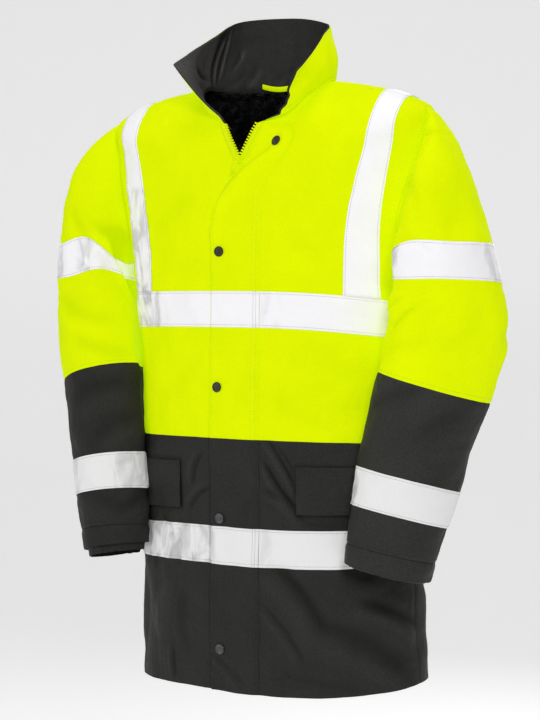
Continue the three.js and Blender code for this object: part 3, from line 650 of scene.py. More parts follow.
def woven(name, light, dark, rough, shine, glow=None, pitch=0.00085, uneven=0.00045, speckle=0.06, valley_shade=0.5, ridge=1.4):
    """A plain weave with a soft uneven surface, painted with shade in its folds, valley_shade times as bright,
    and with highlight beside them, ridge times as bright; glow is painted light, a steady emission for the
    light that the fluorescent hi-vis dye gives back, dimmed in the painted shade."""
    f = Finish(name)
    u, v = f.cut()
    weave = (u * (2 * math.pi / pitch)).sine() * (v * (2 * math.pi / pitch)).sine()
    broad, fine = f.noise(22.0, 2.0), f.noise(380.0, 3.0, 0.7)
    share = (broad.between(0.3, 0.7) * (1 - speckle * 4)) + (fine.between(0.3, 0.7) * (speckle * 4))
    # Painted shade in the folds and painted highlight beside them, from the fold_shading attribute.
    fold_shading = f.node("ShaderNodeAttribute", {"attribute_name": "fold_shading"}, out=2)
    low, high = fold_shading.between(-0.4, -5.0), fold_shading.between(0.3, 3.5)
    times = lambda colour, by: (*(c * by for c in colour[:3]), 1)
    deep = f.blend(share, times(dark, valley_shade), times(light, valley_shade))
    raised = f.blend(share, times(dark, ridge), times(light, ridge))
    colour = f.blend(high, f.blend(low, f.blend(share, dark, light), deep), raised)
    soft = f.bump(f.noise(70.0, 4.0, 0.6), uneven * 4)
    normal = f.bump(weave * 0.5 + fine * 0.6, 0.00006, soft)
    # The glow is painted light, dimmed in the painted fold shade.
    more = glowing(glow and f.blend(low, glow, (glow[0] * 0.84, glow[1] * 0.94, 0, 1)))
    roughness = fine.between(0.2, 0.8) * 0.1 + (rough - 0.05)
    return f.done(Base_Color=colour, Roughness=roughness, Normal=normal, Specular_IOR_Level=shine, **more)


def reflective(name, light, dark, glow):
    """Tape of fine glass beads: a small diamond grain, and where it is crushed crinkles painted grey with shade; the
    whole tape glows with painted light.
    """
    f = Finish(name)
    u, v = f.cut()
    pitch = 0.0011
    grain = ((u + v) * (2 * math.pi / pitch)).sine() * ((u - v) * (2 * math.pi / pitch)).sine()
    amount = f.node("ShaderNodeAttribute", {"attribute_name": "crushed"}, out=2)
    slanted = f.node("ShaderNodeMapping", Vector=f.place(), Rotation=(0.3, 0.5, 0.2), Scale=(1.0, 1.0, 0.45))
    facets = f.node("ShaderNodeTexNoise", Vector=slanted, Scale=46.0, Detail=2.5, Roughness=0.55, Distortion=0.7)
    colour = f.blend(facets.between(0.43, 0.62) * amount + f.noise(240.0, 3.0).between(0.35, 0.8) * 0.06, light, dark)
    normal = f.bump(grain, 0.00002, f.bump(facets * amount, 0.006))
    return f.done(Base_Color=colour, Roughness=0.45, Normal=normal, Specular_IOR_Level=0.3, **glowing(colour, glow))


# Hi-vis yellow: its glow is painted light, a steady emission for the fluorescence of the dye, greener than the base so
# that the painted shade of its folds turns greener.
YELLOW = woven(
    "hi_vis_cloth", (0.50, 0.45, 0.0, 1), (0.44, 0.41, 0.0, 1), 0.8, 0.02,
    glow=(0.28, 0.48, 0.0, 1), speckle=0.08, valley_shade=0.8, ridge=1.05,
)
# Black cloth: painted shade in its folds, valley_shade times as bright, and painted highlight beside them.
BLACK = woven(
    "black_cloth", (0.0285, 0.0280, 0.0258, 1), (0.0155, 0.0152, 0.0138, 1), 0.6, 0.12,
    speckle=0.2, valley_shade=0.38,
)
# A copy of the black cloth for the collar and cuff linings, whose fold ridges are painted much brighter: painted
# highlight.
COLLAR_BLACK = woven(
    "collar_cloth", (0.027, 0.0262, 0.0242, 1), (0.016, 0.0155, 0.0145, 1), 0.6, 0.14,
    speckle=0.18, valley_shade=0.3, ridge=3.2,
)
# Taffeta lining: its crease ridges are painted fourteen times as bright, a painted highlight for the shine of the
# taffeta.
LINING_LOOK = woven(
    "lining_taffeta", (0.0030, 0.0026, 0.0028, 1), (0.0012, 0.0010, 0.0011, 1), 0.3, 0.4,
    pitch=0.0005, uneven=0.0011, ridge=14.0,
)
# Both tapes glow with painted light, and the upper bands' tape is painted lighter than the lower bands'.
TAPE_UPPER = reflective("tape_upper", (0.775, 0.768, 0.793, 1), (0.49, 0.482, 0.51, 1), 0.19)
TAPE_LOWER = reflective("tape_lower", (0.74, 0.74, 0.74, 1), (0.46, 0.46, 0.47, 1), 0.10)


def plain(name, colour, rough, metallic=0.0, scale=500.0, depth=0.00008, glow=None, shine=0.5):
    """Thread, metal or coated moulding with a fine grain."""
    f = Finish(name)
    grain = f.noise(scale, 3.0)
    tone = f.blend(grain.between(0.3, 0.7), tuple(c * 0.8 for c in colour[:3]) + (1,), colour)
    rough = grain.between(0.2, 0.8) * 0.12 + (rough - 0.06)
    return f.done(
        Base_Color=tone, Roughness=rough, Metallic=metallic, Normal=f.bump(grain, depth),
        Specular_IOR_Level=shine, **glowing(glow),
    )


# Stud metal, and a dark olive copy of it for the studs on the yellow: painted shade, tinted with a painted reflection
# of the yellow cloth.
STUD_METAL = plain("gunmetal_stud", (0.10, 0.10, 0.104, 1), 0.36, metallic=0.85, scale=900.0, depth=0.00001)
STUD_PAINTED_SHADE = plain("stud_painted_shade", (0.026, 0.024, 0.010, 1), 0.45, metallic=0.2, scale=900.0, depth=0.00004)
# The zip moulding and the yellow thread glow with painted light for their fluorescent dye.
ZIP_YELLOW = plain("zip_moulding", (0.50, 0.44, 0.0, 1), 0.5, glow=(0.25, 0.44, 0.0, 1), shine=0.06)
THREADS = {
    "yellow": plain("yellow_thread", (0.34, 0.34, 0.0, 1), 0.6, scale=2500.0, glow=(0.16, 0.32, 0.0, 1)),
    "black": plain("black_thread", (0.010, 0.010, 0.010, 1), 0.65, scale=2500.0),
    "grey": plain("grey_thread", (0.20, 0.21, 0.19, 1), 0.6, scale=2500.0),
}

# Body panels: fronts with the open V, and the back
SPACING, SHELL, LIFT = 4.2, 3.0, 0.9  # mesh spacing, thickness of a padded wall, how far tape lies off it
V_HALF_WIDTH = 27
SPOTS = np.array([0.0, 45.0, 90.0, 135.0, 180.0])


def v_half_width(t):
    """Half the width of the open V of the zip at a level."""
    return np.where(t <= NOTCH, 0.0, V_HALF_WIDTH * (t - NOTCH) / (NECK - NOTCH))


def panel_edge(t, back):
    """Angle where a panel ends: the side seam, the armhole or the shoulder seam."""
    c = np.clip((t - (PIT + TIP) / 2) / ((TIP - PIT) / 2), -1, 1)
    turn = np.degrees(np.arccos(c)) * (-1 if back else 1)
    return np.where((t > PIT) & (t < TIP), armhole_edge(turn)[1], 90.0)


def panel_levels(low, high, spacing=SPACING):
    down = lambda t: body(SPOTS[None, :], t[:, None])
    return evenly(low, high, down, spacing)


def shares(count, close=(0.0025, 0.007)):
    """Shares from 0 to 1, closer at both ends."""
    """Values from 0 to 1, closer at the ends."""
    return np.array(sorted([*np.linspace(0, 1, count), *close, *(1 - c for c in close)]))


def body_shade(P):
    """Shade on the fronts beside the free edge of the storm flap and round the pocket flaps."""
    x, y, z = P[..., 0], P[..., 1], P[..., 2]
    front = y < 0
    flap = 4.5 * near(x, -39, 2.6) * (z < -200)
    off = np.hypot(np.maximum(np.abs(np.abs(x) - 142) - 48, 0), np.maximum(np.abs(z + 554.5) - 32.5, 0))
    return front * (flap + 3.4 * near(off, 0, 5))


def panel(name, levels, start, end, columns, looks, seams, node):
    """A body panel whose rows run from one angle to another."""
    t = levels[:, None]
    angle = start(levels)[:, None] + (end(levels) - start(levels))[:, None] * shares(columns)[None, :]
    P, N = body_skin(angle, t)
    # Painted shade in the creases with painted highlight beside them, and painted shade beside the storm flap's free
    # edge and round the pocket flaps.
    fold_shading = creased(round_body(angle), P[..., 2], BODY_CREASES, GIRTH, True) - body_shade(P)
    piece = shell(name, P, N, -SHELL + 0.4, 0.0, looks, seams=seams, fold_shading=fold_shading)
    return cloth(piece, node)


PARTS = (  # the two colours of a panel: its levels, its cloth, its sewn rows and a front's columns
    ("upper", panel_levels(level("waist"), NECK), YELLOW, "bt", 66),
    ("lower", panel_levels(0, level("waist"), 2.9), BLACK, "t", 104),
)
for word, side in SIDES:
    start = lambda t: side * np.abs(angle_at_x(v_half_width(t), t))
    end = lambda t: side * panel_edge(t, False)
    for part, levels, look, seams, columns in PARTS:
        node = f"front_{word}_{part}"
        panel(f"cloth_{node}", levels, start, end, columns, [look, LINING_LOOK], seams + "r", node)
for part, levels, look, seams, _ in PARTS:
    start, end = lambda t: panel_edge(t, True), lambda t: 360 - panel_edge(t, True)
    panel(f"cloth_back_{part}", levels, start, end, 132, [look, LINING_LOOK], seams + "lr", f"back_{part}")

# Sleeves, cuffs, their linings and bands
AROUND = 108
TURNS = np.linspace(0, 360, AROUND + 1)[:-1] + 180
LINING_SHOWS = {"right": 1.0, "left": 0.2}  # rings past the cuff
# Painted light on whole sleeves: the near one is painted lighter and the far one darker, for the light that falls on
# them.
SLEEVE_PAINTED_LIGHT = {1: 2.6, -1: -1.2}  # the near sleeve is lighter than the far one


def risen(v, turn, side):
    """The upper sleeve band runs higher under the arm than the rings of the sleeve, most on the wearer's right."""
    turn = turn % 360
    front = 0.5 * near(turn, 142, 40) * (1 - 0.4 * (v - ring("biceps"))) if side < 0 else 0
    return v - 0.42 * near(turn, 180, 62) - front


def tube(
    name, side, low, high, inner, outer, looks, node, slot_name, seams="", spacing=SPACING, wave=None, rise=False, **more
):
    """A piece all round a sleeve, between two of its rings."""
    down = lambda v: sleeve_left(np.array([0.0, 90.0, 180.0, 270.0])[None, :], v[:, None])
    v = evenly(low, high, down, spacing)[:, None]
    P, N = sleeve_skin(side, TURNS[None, :], risen(v, TURNS, side) if rise else v)
    if wave:
        P = P + N * wave(P, v + 0 * TURNS)[..., None]
    # How crushed the piece is: a tape's finish paints its crinkles grey with shade there.
    amount = crushed(TURNS[None, :] * DEGREE, P[..., 2], sleeve_patches(side), SLEEVE_ROUND)
    # Painted shade and highlight of the sleeve's creases, plus the painted light of the whole sleeve.
    fold_shading = sleeve_folds(side, TURNS[None, :], P, True) + SLEEVE_PAINTED_LIGHT[side]
    piece = shell(name, P, N, inner, outer, looks, joined=True, seams=seams, rough=amount, fold_shading=fold_shading, **more)
    return cloth(piece, node)


def gathers(P, v):
    """The gathered lining bells out and in towards the mouth of the cuff."""
    return 1.5 * np.clip((v - ring("wrist")) / 2, 0, 1) * ripple(P, 13, 31, (1, 1, 0.1)) - 0.4


for word, side in SIDES:
    tube(f"cloth_sleeve_{word}_upper", side, 0, ring("colour"), -SHELL + 0.4, 0, [YELLOW, LINING_LOOK],
         f"sleeve_{word}_upper", "yellow_shell", "bt")
    tube(f"cloth_sleeve_{word}_lower", side, ring("colour"), ring("wrist"), -SHELL + 0.4, 0, [BLACK, LINING_LOOK],
         f"sleeve_{word}_lower", "black_shell", "bt")
    tube(f"cloth_cuff_{word}", side, ring("wrist") + 0.01, ring("cuff"), -SHELL + 0.4, 0.5, [BLACK, LINING_LOOK],
         f"cuff_{word}", "black_shell", "b", spacing=3, sink=1.4)
    mouth = ring("cuff") + LINING_SHOWS[word]
    tube(f"cloth_cuff_lining_{word}", side, ring("wrist"), mouth, -6.2, -5.2, [COLLAR_BLACK],
         f"cuff_lining_{word}", "lining", spacing=3, wave=gathers)
    for part, low in (("upper", "biceps"), ("lower", "bandHigh")):
        tube(f"tape_sleeve_{part}_{word}", side, ring(low), ring(low) + 1, LIFT - 0.5, LIFT + 0.3,
             [TAPE_UPPER if part == "upper" else TAPE_LOWER], f"sleeve_band_{part}_{word}", "reflective_tape",
             "bt", spacing=3, sink=0.4, wide=2.5, rise=part == "upper")

# Collar: degrees round the neck from the back, the point on its top edge, and how far its middle leans
COLLAR = table(
    "round x y z lean",
    rightCorner=(-164, -102, -90, 23, 0),
    rightCheek=(-130, -96, -48, 49, 0),
    rightSide=(-90, -90, -4, 73, 0),
    rightQuarter=(-45, -74, 42, 96, 0),
    back=(0, 0, 80, 99, 0),
    leftQuarter=(45, 66, 50, 84, 0),
    leftSide=(90, 89, -4, 63, 3),
    leftCheek=(130, 95, -48, 31, 8),
    leftCorner=(164, 100, -90, 3, 12),
)
COLLAR_ROWS = list(COLLAR.values())
ROUNDS = np.array([row["round"] for row in COLLAR_ROWS], float)


def collar(round_, h):
    round_, h = np.broadcast_arrays(np.asarray(round_, float), np.asarray(h, float))
    k = np.interp(round_, ROUNDS, np.arange(len(ROUNDS)))
    x, y, z, lean = (through([row[key] for row in COLLAR_ROWS], k) for key in ("x", "y", "z", "lean"))
    base = body(180 - round_, NECK)
    out = base * [1, 1, 0] / np.linalg.norm(base[..., :2], axis=-1)[..., None]
    middle = np.sin(math.pi * h)[..., None]
    p = base + (np.stack([x, y, z], -1) - base) * h[..., None] + out * 6 * middle
    return p + np.stack([lean, 0 * lean, 0 * lean], -1) * middle


# Folds of the collar: from and to (mm round from its back, and height), then as on the body
COLLAR_FOLDS = [
    (-112, 6, -96, 88, -5, 3.5, 3.4, 2.2),
    (-98, 16, -86, 92, 3, 2.6, 2.6, 1.8),
    (-168, 62, -128, 16, 4, 4.5, 2.6, 1.4),
    (-70, 30, -58, 60, 2, 2.4, 1.6, 1.2),
    (-175, 40, -150, 12, 3, 6, 1.4, 0.8),
    (-60, 4, -40, 34, 4, 4, 1.6, 0.9),
    (-84, 6, -52, 26, 4, 4, 1.4, 0.9),
    (-20, 6, 4, 26, -4, 5, 1.2, 0.7),
    (118, 12, 104, 84, 6, 5, 2.2, 1.6),
    (150, 66, 128, 8, -5, 9, 3.0, 1.4),
]


def collar_skin(round_, h, inside):
    round_, h = np.broadcast_arrays(np.asarray(round_, float), np.asarray(h, float))
    n = normal_of(collar, np.clip(round_, -162, 162), np.clip(h, 0.03, 0.97), 1.5, 0.02, -1)
    n = towards(n, neck_mitre(180 - round_), np.clip(1 - h / 0.12, 0, 1) ** 2)
    p = collar(round_, h)
    a, b = round_ * 1.35, h * 100.0
    out = 0.7 * ripple(p, 60, 41) + 0.25 * ripple(p, 18, 42)
    out = out - (0.85 if inside else 0.5) * creased(a, b, COLLAR_FOLDS, 1e4) * (0.6 + 0.4 * h)
    for seam in (-61, 0, 61):
        out = out - (0.9 if not inside else -0.9) * near(a, seam, 2.2)
    out = out + (0.5 if not inside else 0.35) * near(h, 0.0, 0.16) * ripple(p, 12, 43)
    start = np.clip(h / 0.1, 0, 1)
    out = out * start + (1 - start) * body_relief(180 - round_, NECK + 0 * h, body(180 - round_, NECK))
    wave = near(round_, 164, 26) * (8 * near(h, 0.45, 0.1) + 15 * near(h, 0.27, 0.12) + 20 * near(h, 0.08, 0.1)) * start
    return p + n * out[..., None] + np.stack([wave, 0 * wave, 0 * wave], -1), n


COLLAR_ROUND = -164 + 328 * shares(124, (0.002, 0.005))
for name, inner, outer, look, inside, seams in (
    ("cloth_collar_shell", -1.7, 0.0, YELLOW, False, "b"),
    ("cloth_collar_lining", -4.2, -1.5, COLLAR_BLACK, True, ""),
):
    round_ = COLLAR_ROUND * (1 if inside else 0.992)
    foot = (-0.015 - 0.075 * near(np.abs(round_), 164, 40))[None, :] if inside else 0 * round_[None, :]
    h = foot + ((1 if inside else 0.984) - foot) * shares(30, (0.008, 0.02))[:, None]
    P, N = collar_skin(round_[None, :], h, inside)
    size, area = cut_size(P)
    # On the lining only: painted shade and highlight of its folds, painted light over its inside at the wearer's right,
    # which lies in shade, and painted shade along its seams and foot.
    fold_shading = 1.3 * creased(round_[None, :] * 1.35, h * 100.0, COLLAR_FOLDS, 1e4, True) * inside
    seam = sum(near(round_ * 1.35, a, 1.6) for a in (-61, 0, 61))[None, :] + 1.4 * near(h, 0.0, 0.03)
    fold_shading = fold_shading + (3.4 * span(round_, -170, -90, 12)[None, :] - 3.0 * seam) * inside
    piece = shell(name, P, N, inner, outer, [look], seams=seams, fold_shading=fold_shading + 0 * P[..., 0])
    cloth(piece, name.replace("cloth_", ""))

# Lining behind the open neck, with the creases of its loose taffeta, painted with shade in them and with a bright
# painted highlight beside them
LINING_CREASES = [
    (-430, -48, -380, -120, 6, 6, 3.0, 2.0),
    (-520, -40, -470, -110, -6, 5, 2.6, 1.6),
    (480, -50, 540, -90, 6, 5, 2.6, 1.8),
    (520, -30, 440, -140, 6, 7, 3.0, 2.0),
    (560, -60, 600, -130, 0, 5, 2.0, 1.4),
]
LT = evenly(level("breast"), NECK - 0.03, lambda t: body(SPOTS[None, 2:], t[:, None]), 4)[:, None]
LA = np.linspace(104, 256, 130)[None, :]
P, N = body_skin(LA, LT)
P = P + N * (creased(round_body(LA), P[..., 2], LINING_CREASES, GIRTH) - 1.2 + 0.9 * crumple(P, 34, 51))[..., None]
size, area = cut_size(body(LA, LT))
# Painted shade in the lining's creases and crinkles, with painted highlight beside them.
fold_shading = creased(round_body(LA), P[..., 2], LINING_CREASES, GIRTH) + 0.8 * crumple(P, 34, 51)
cloth(shell("cloth_neck_lining", P, N, -5.8, -5.0, [LINING_LOOK], fold_shading=fold_shading), "neck_lining")

# Storm flap: height at centre front, free and sewn edge, and the roll of its turned top
FLAP = table(
    "z free sewn rollX roll",
    hem=(-836, -37, 39, -37, 0),
    hip=(-661, -37, 39, -37, 0),
    waist=(-488, -37, 39, -37, 0),
    chest=(-336, -37, 39, -37, 0),
    snap=(-240, -37, 39, -37, 1),
    turn=(-202, -37, 39, -35, 5),
    low=(-169, -27, 39, -20, 7),
    middle=(-142, -13, 43, 4, 8),
    foot=(-119, 4, 60, 30, 8),
    high=(-100, 17, 76, 58, 6),
    corner=(-84, 26, 82, 74, 3),
    top=(-74, 32, 76, 74, 1),
)
FLAP_ROWS = list(FLAP.values())
FLAP_CREASES = [
    (-36, -786, 8, -822, -3, 4, 1.8, 1.0),
    (0, -800, 22, -828, 3, 4, 1.2, 0.8),
    (-20, -640, 10, -660, 3, 6, 0.8, 0.4),
    (36, -560, 20, -600, 3, 5, 0.8, 0.4),
    (20, -360, 34, -420, 4, 8, 0.8, 0.4),
]


def flap_at(z, key):
    return np.interp(z, [row["z"] for row in FLAP_ROWS], [row[key] for row in FLAP_ROWS])


FRONT_LEVELS = np.linspace(0, NECK, 3001)
FRONT_HEIGHTS = body_at(FRONT_LEVELS, "frontZ")


def level_at(z):
    """The level whose centre front has a height."""
    return np.interp(z, FRONT_HEIGHTS, FRONT_LEVELS)


def flap_base(x, z):
    """The flap's place before its thickness: over the fronts, raised by its roll."""
    t = level_at(z)
    angle = angle_at_x(x, t)
    n = normal_of(body, angle, np.clip(t, 0.03, NECK - 0.03), 0.6, 0.02)
    p = body(angle, t)
    roll = flap_at(z, "roll") * np.exp(-(((x - flap_at(z, "rollX")) / 13) ** 2))
    return p + n * roll[..., None]


def flap_skin(x, z):
    """A place on the creased flap and its normal; the flap sinks to its sewn edge."""
    x, z = np.broadcast_arrays(np.asarray(x, float), np.asarray(z, float))
    t = level_at(z)
    n = normal_of(flap_base, x, z, 1.0, 1.0)
    p = flap_base(x, z)
    relief = body_relief(angle_at_x(x, t), t, p) + creased(x, z, FLAP_CREASES, 1e4) + 0.25 * ripple(p, 30, 61)
    relief = relief - 3.0 * near(x, flap_at(z, "sewn") + 0.5, 6) + 0.7 * near(x, flap_at(z, "free"), 5)
    return p + n * relief[..., None], n


for name, low, high, look in (("lower", -836, -488, BLACK), ("upper", -488, -74, YELLOW)):
    z = evenly(low, high, lambda v: flap_base(0 * v, v), 3.5)[:, None]
    x = flap_at(z, "free") + (flap_at(z, "sewn") - flap_at(z, "free")) * shares(24, (0.01, 0.03))[None, :]
    P, N = flap_skin(x, z + 0 * x)
    size, area = cut_size(flap_base(x, z + 0 * x))
    seams = "t" if name == "lower" else "b"
    # Painted shade in the flap's creases and beside its sewn edge, and on its turned top painted highlight on the
    # roll's hill with painted shade on the hill's side towards the free edge.
    fold_shading = 1.5 * creased(x, z, FLAP_CREASES, 1e4) - 1.0 * near(x, flap_at(z, "sewn") - 3, 2.5)
    hill = np.clip(flap_at(z, "roll") / 6, 0, 1)
    fold_shading = fold_shading + hill * (3.4 * near(x, flap_at(z, "rollX") + 4, 12) - 4.2 * near(x, flap_at(z, "rollX") - 11, 6))
    piece = shell(f"cloth_flap_{name}", P, N, 1.2, 3.7, [look], seams=seams, sink=1.6, wide=3.0, fold_shading=fold_shading)
    cloth(piece, f"flap_{name}")

# Reflective bands and braces on the body
BAND = (LIFT - 0.5, LIFT + 0.3)


def strip(name, P, N, low, high, look, node, seams="bt"):
    # The crushed mask goes to the tape's finish, which paints its crinkles grey with shade.
    piece = shell(name, P, N, low, high, [look], seams=seams, sink=0.4, wide=2.5, rough=body_crushed(P))
    return cloth(piece, node)


for band, bottom, look in (("chest_band", 7, TAPE_UPPER), ("hip_band", 2, TAPE_LOWER)):
    t = bottom + shares(18, (0.015, 0.04))[:, None]
    for word, side, start_x in (("right", -1, 38.2), ("left", 1, 39.2)):
        start = np.abs(angle_at_x(start_x, t))
        angle = side * (start + (90 - start) * shares(80)[None, :])
        P, N = body_skin(angle, t)
        strip(f"tape_{band}_{word}", P, N, *BAND, look, f"{band}_{word}")
    P, N = body_skin(np.linspace(90, 270, 180)[None, :], t)
    strip(f"tape_{band}_back", P, N, *BAND, look, f"{band}_back")
    x = -36.4 + 75.2 * shares(24, (0.01, 0.03))[None, :]
    z = body_at(t, "frontZ") + 0 * x
    P, N = flap_skin(x + 0 * z, z)
    strip(f"tape_{band}_flap", P, N, 4.0, 4.8, look, f"{band}_flap", "btlr")

BRACE = table(
    "inner outer",
    chestHigh=(155, 196),
    armpit=(157, 198),
    breast=(162, 203),
    yoke=(171, 210),
    notch=(181, 217),
    shoulder=(187, 222),
    slope=(189, 225),
)
BRACE_START = level("chestHigh")


def brace_x(across, t):
    inner, outer = (through([row[k] for row in BRACE.values()], t - BRACE_START) for k in ("inner", "outer"))
    return inner + (outer - inner) * across


def brace_top(across):
    t = np.linspace(TIP, level("slope"), 400)
    return np.array([t[np.argmax(brace_x(a, t) > body_at(t, "halfW"))] for a in across])


def brace_place(side, way, across):
    """A place on a brace: way from -1 at the front band to 1 at the back one."""
    top = np.interp(across, BRACE_ACROSS, BRACE_TOPS)
    t = top - (top - BRACE_START) * np.abs(way) ** 1.6
    angle = angle_at_x(brace_x(across, t), t)
    return side * np.where(way < 0, angle, 180 - angle), t


BRACE_ACROSS = np.linspace(0, 1, 21)
BRACE_TOPS = brace_top(BRACE_ACROSS)
for word, side in SIDES:
    way = np.linspace(-1, 1, 190)[:, None]
    across = shares(16, (0.015, 0.04))[None, :]
    angle, t = brace_place(side, way + 0 * across, across + 0 * way)
    P, N = body_skin(angle, t)
    strip(f"tape_brace_{word}", P, N, LIFT + 0.1, LIFT + 1.0, TAPE_UPPER, f"brace_{word}", "lr")

# Pocket flaps on the skirt
for word, side in SIDES:
    z = -587 + 65 * shares(24, (0.01, 0.03))[:, None]
    x = 94 + 96 * shares(32, (0.01, 0.03))[None, :]
    t = level_at(z)
    angle = side * angle_at_x(x, t)
    P, N = body_skin(angle, t)
    lift = 0.6 * ripple(P, 26, 81) * span(z, -600, -530, 20) + 1.1 * near(z, -585, 10)
    size, area = cut_size(body(angle, t + 0 * angle))
    piece = shell(f"cloth_pocket_flap_{word}", P + N * lift[..., None], N, 0.7, 2.6, [BLACK], seams="t", sink=1.2)
    cloth(piece, f"pocket_flap_{word}")

# Stitching, laid as lines of places on the cloth
LINES = {"yellow": [], "black": [], "grey": []}


def sewn(thread, P, N, lift=0.15):
    LINES[thread].append(P + N * lift)


def body_line(thread, angle, t, lift):
    sewn(thread, *body_skin(angle, t), lift)


def sleeve_line(thread, side, v, lift):
    turn = np.linspace(0, 360, 181)
    sewn(thread, *sleeve_skin(side, turn, risen(v, turn, side) if v < 6 else v + 0 * turn), lift)


INSET = 0.055  # from a band's edge to its stitches, as a share of its 50 mm
ROUND = np.linspace(-180, 180, 541)
for bottom, top in ((2, 3), (7, 8)):
    for t in (bottom + INSET, top - INSET):
        for a0, a1 in ((angle_at_x(41.5, t), 180), (-180, angle_at_x(-39.5, t))):
            a = np.linspace(float(a0), float(a1), 300)
            body_line("grey", a, t + 0 * a, LIFT + 0.22)
        x = np.linspace(-35, 37, 40)
        sewn("grey", *flap_skin(x, body_at(t, "frontZ") + 0 * x), 4.75)
    for x in (34.5, 31.0):
        z = np.linspace(float(body_at(bottom + 0.02, "frontZ")), float(body_at(top - 0.02, "frontZ")), 14)
        sewn("grey", *flap_skin(x + 0 * z, z), 4.8)
for word, side in SIDES:
    for v in (4 + INSET, 5 - INSET, 10 + INSET, 11 - INSET):
        sleeve_line("grey", side, v, LIFT + 0.22)
    sleeve_line("yellow", side, ring("colour") - 0.1, 0.0)
    sleeve_line("black", side, ring("wrist") - 0.12, 0.0)
    sleeve_line("black", side, ring("cuff") - 0.18, 0.5)
    for share in (0.06, 0.94):
        way = np.linspace(-0.995, 0.995, 220)
        a, t = brace_place(side, way, share + 0 * way)
        sewn("grey", *body_skin(a, t), LIFT + 0.95)
    turn = np.linspace(0, 360, 181)
    lev, edge = armhole_edge(turn)
    body_line("yellow", side * (edge - 2.2 * np.where(edge > 90, -1, 1)), lev, 0.0)
    z = np.linspace(-586, -523, 24)
    for x in (97, 187):
        a = side * angle_at_x(x, level_at(z))
        body_line("black", a, level_at(z), 2.8)
    x = np.linspace(96, 188, 40)
    for z in (-526, -531, -584):
        t = level_at(z) + 0 * x
        body_line("black", side * angle_at_x(x, t), t, 2.8)
    t = np.linspace(NOTCH + 0.05, NECK - 0.05, 60)
    body_line("yellow", side * angle_at_x(v_half_width(t) + 9.5, t), t, 0.1)
for x in (33.5, 27.5):
    for thread, low, high in (("black", -832, -492), ("yellow", -485, -160)):
        z = np.linspace(low, high, 200)
        sewn(thread, *flap_skin(x + 0 * z, z), 3.6)
z = np.linspace(-832, -492, 160)
sewn("black", *flap_skin(-34.4 + 0 * z, z), 3.75)
z = np.linspace(-485, -78, 220)
sewn("yellow", *flap_skin(flap_at(z, "free") + 3.0, z), 3.75)
for a in (ROUND[ROUND > 12], ROUND[ROUND < -12]):
    body_line("black", a, 0.23 + 0 * a, 0.12)
for a in (np.linspace(12, 180, 260), np.linspace(-180, -12, 260)):
    body_line("black", a, level("waist") - 0.07 + 0 * a, 0.1)
a = np.linspace(-160, 160, 200)
sewn("yellow", *collar_skin(a, 0.955 + 0 * a, False), 0.1)
sewn("yellow", *collar_skin(a, 0.06 + 0 * a, False), 0.1)
sewn("black", *(lambda s: (s[0], -s[1]))(collar_skin(a, 0.95 + 0 * a, True)), 4.3)
h = np.linspace(0.06, 0.955, 40)
for edge in (-160, 160):
    sewn("yellow", *collar_skin(edge + 0 * h, h, False), 0.1)
    sewn("black", *(lambda s: (s[0], -s[1]))(collar_skin(edge + 0 * h, h, True)), 4.3)


def tree_of(name, *inputs):
    """A Geometry Nodes tree that takes lines and named sizes."""
    tree = bpy.data.node_groups.new(name, "GeometryNodeTree")
    tree.interface.new_socket("Lines", in_out="INPUT", socket_type="NodeSocketGeometry")
    for label in inputs:
        tree.interface.new_socket(label, in_out="INPUT", socket_type="NodeSocketFloat")
    tree.interface.new_socket("Finish", in_out="INPUT", socket_type="NodeSocketMaterial")
    tree.interface.new_socket("Pieces", in_out="OUTPUT", socket_type="NodeSocketGeometry")
    source, sink = tree.nodes.new("NodeGroupInput"), tree.nodes.new("NodeGroupOutput")

    def add(kind, settings=None, **sockets):
        made = tree.nodes.new(kind)
        for key, value in (settings or {}).items():
            setattr(made, key, value)
        for key, value in sockets.items():
            socket = made.inputs[key.replace("_", " ")]
            if isinstance(value, bpy.types.NodeSocket):
                tree.links.new(value, socket)
            else:
                socket.default_value = value
        return made.outputs

    return tree, source.outputs, sink.inputs, add


def repeated(name, toothed):
    """Small pieces in a row along lines: round stitches, or the square teeth of a zip."""
    tree, given, result, add = tree_of(name, "Spacing", "Length", "Width", "Height")
    line = add("GeometryNodeMeshToCurve", Mesh=given["Lines"])["Curve"]
    line = add("GeometryNodeResampleCurve", {"mode": "LENGTH"}, Curve=line, Length=given["Spacing"])["Curve"]
    size = add("ShaderNodeCombineXYZ", X=given["Width"], Y=given["Height"], Z=given["Length"])[0]
    if toothed:
        one = add("GeometryNodeMeshCube", Size=size)["Mesh"]
    else:
        ball = add("GeometryNodeMeshIcoSphere", Radius=0.5, Subdivisions=1)["Mesh"]
        one = add("GeometryNodeTransform", Geometry=ball, Scale=size)["Geometry"]
    way = add("GeometryNodeInputTangent")[0]
    turn = add("FunctionNodeAlignRotationToVector", {"axis": "Z"}, Vector=way)["Rotation"]
    row = add("GeometryNodeInstanceOnPoints", Points=line, Instance=one, Rotation=turn)["Instances"]
    real = add("GeometryNodeRealizeInstances", Geometry=row)["Geometry"]
    done = add("GeometryNodeSetMaterial", Geometry=real, Material=given["Finish"])["Geometry"]
    tree.links.new(done, result["Pieces"])
    return tree


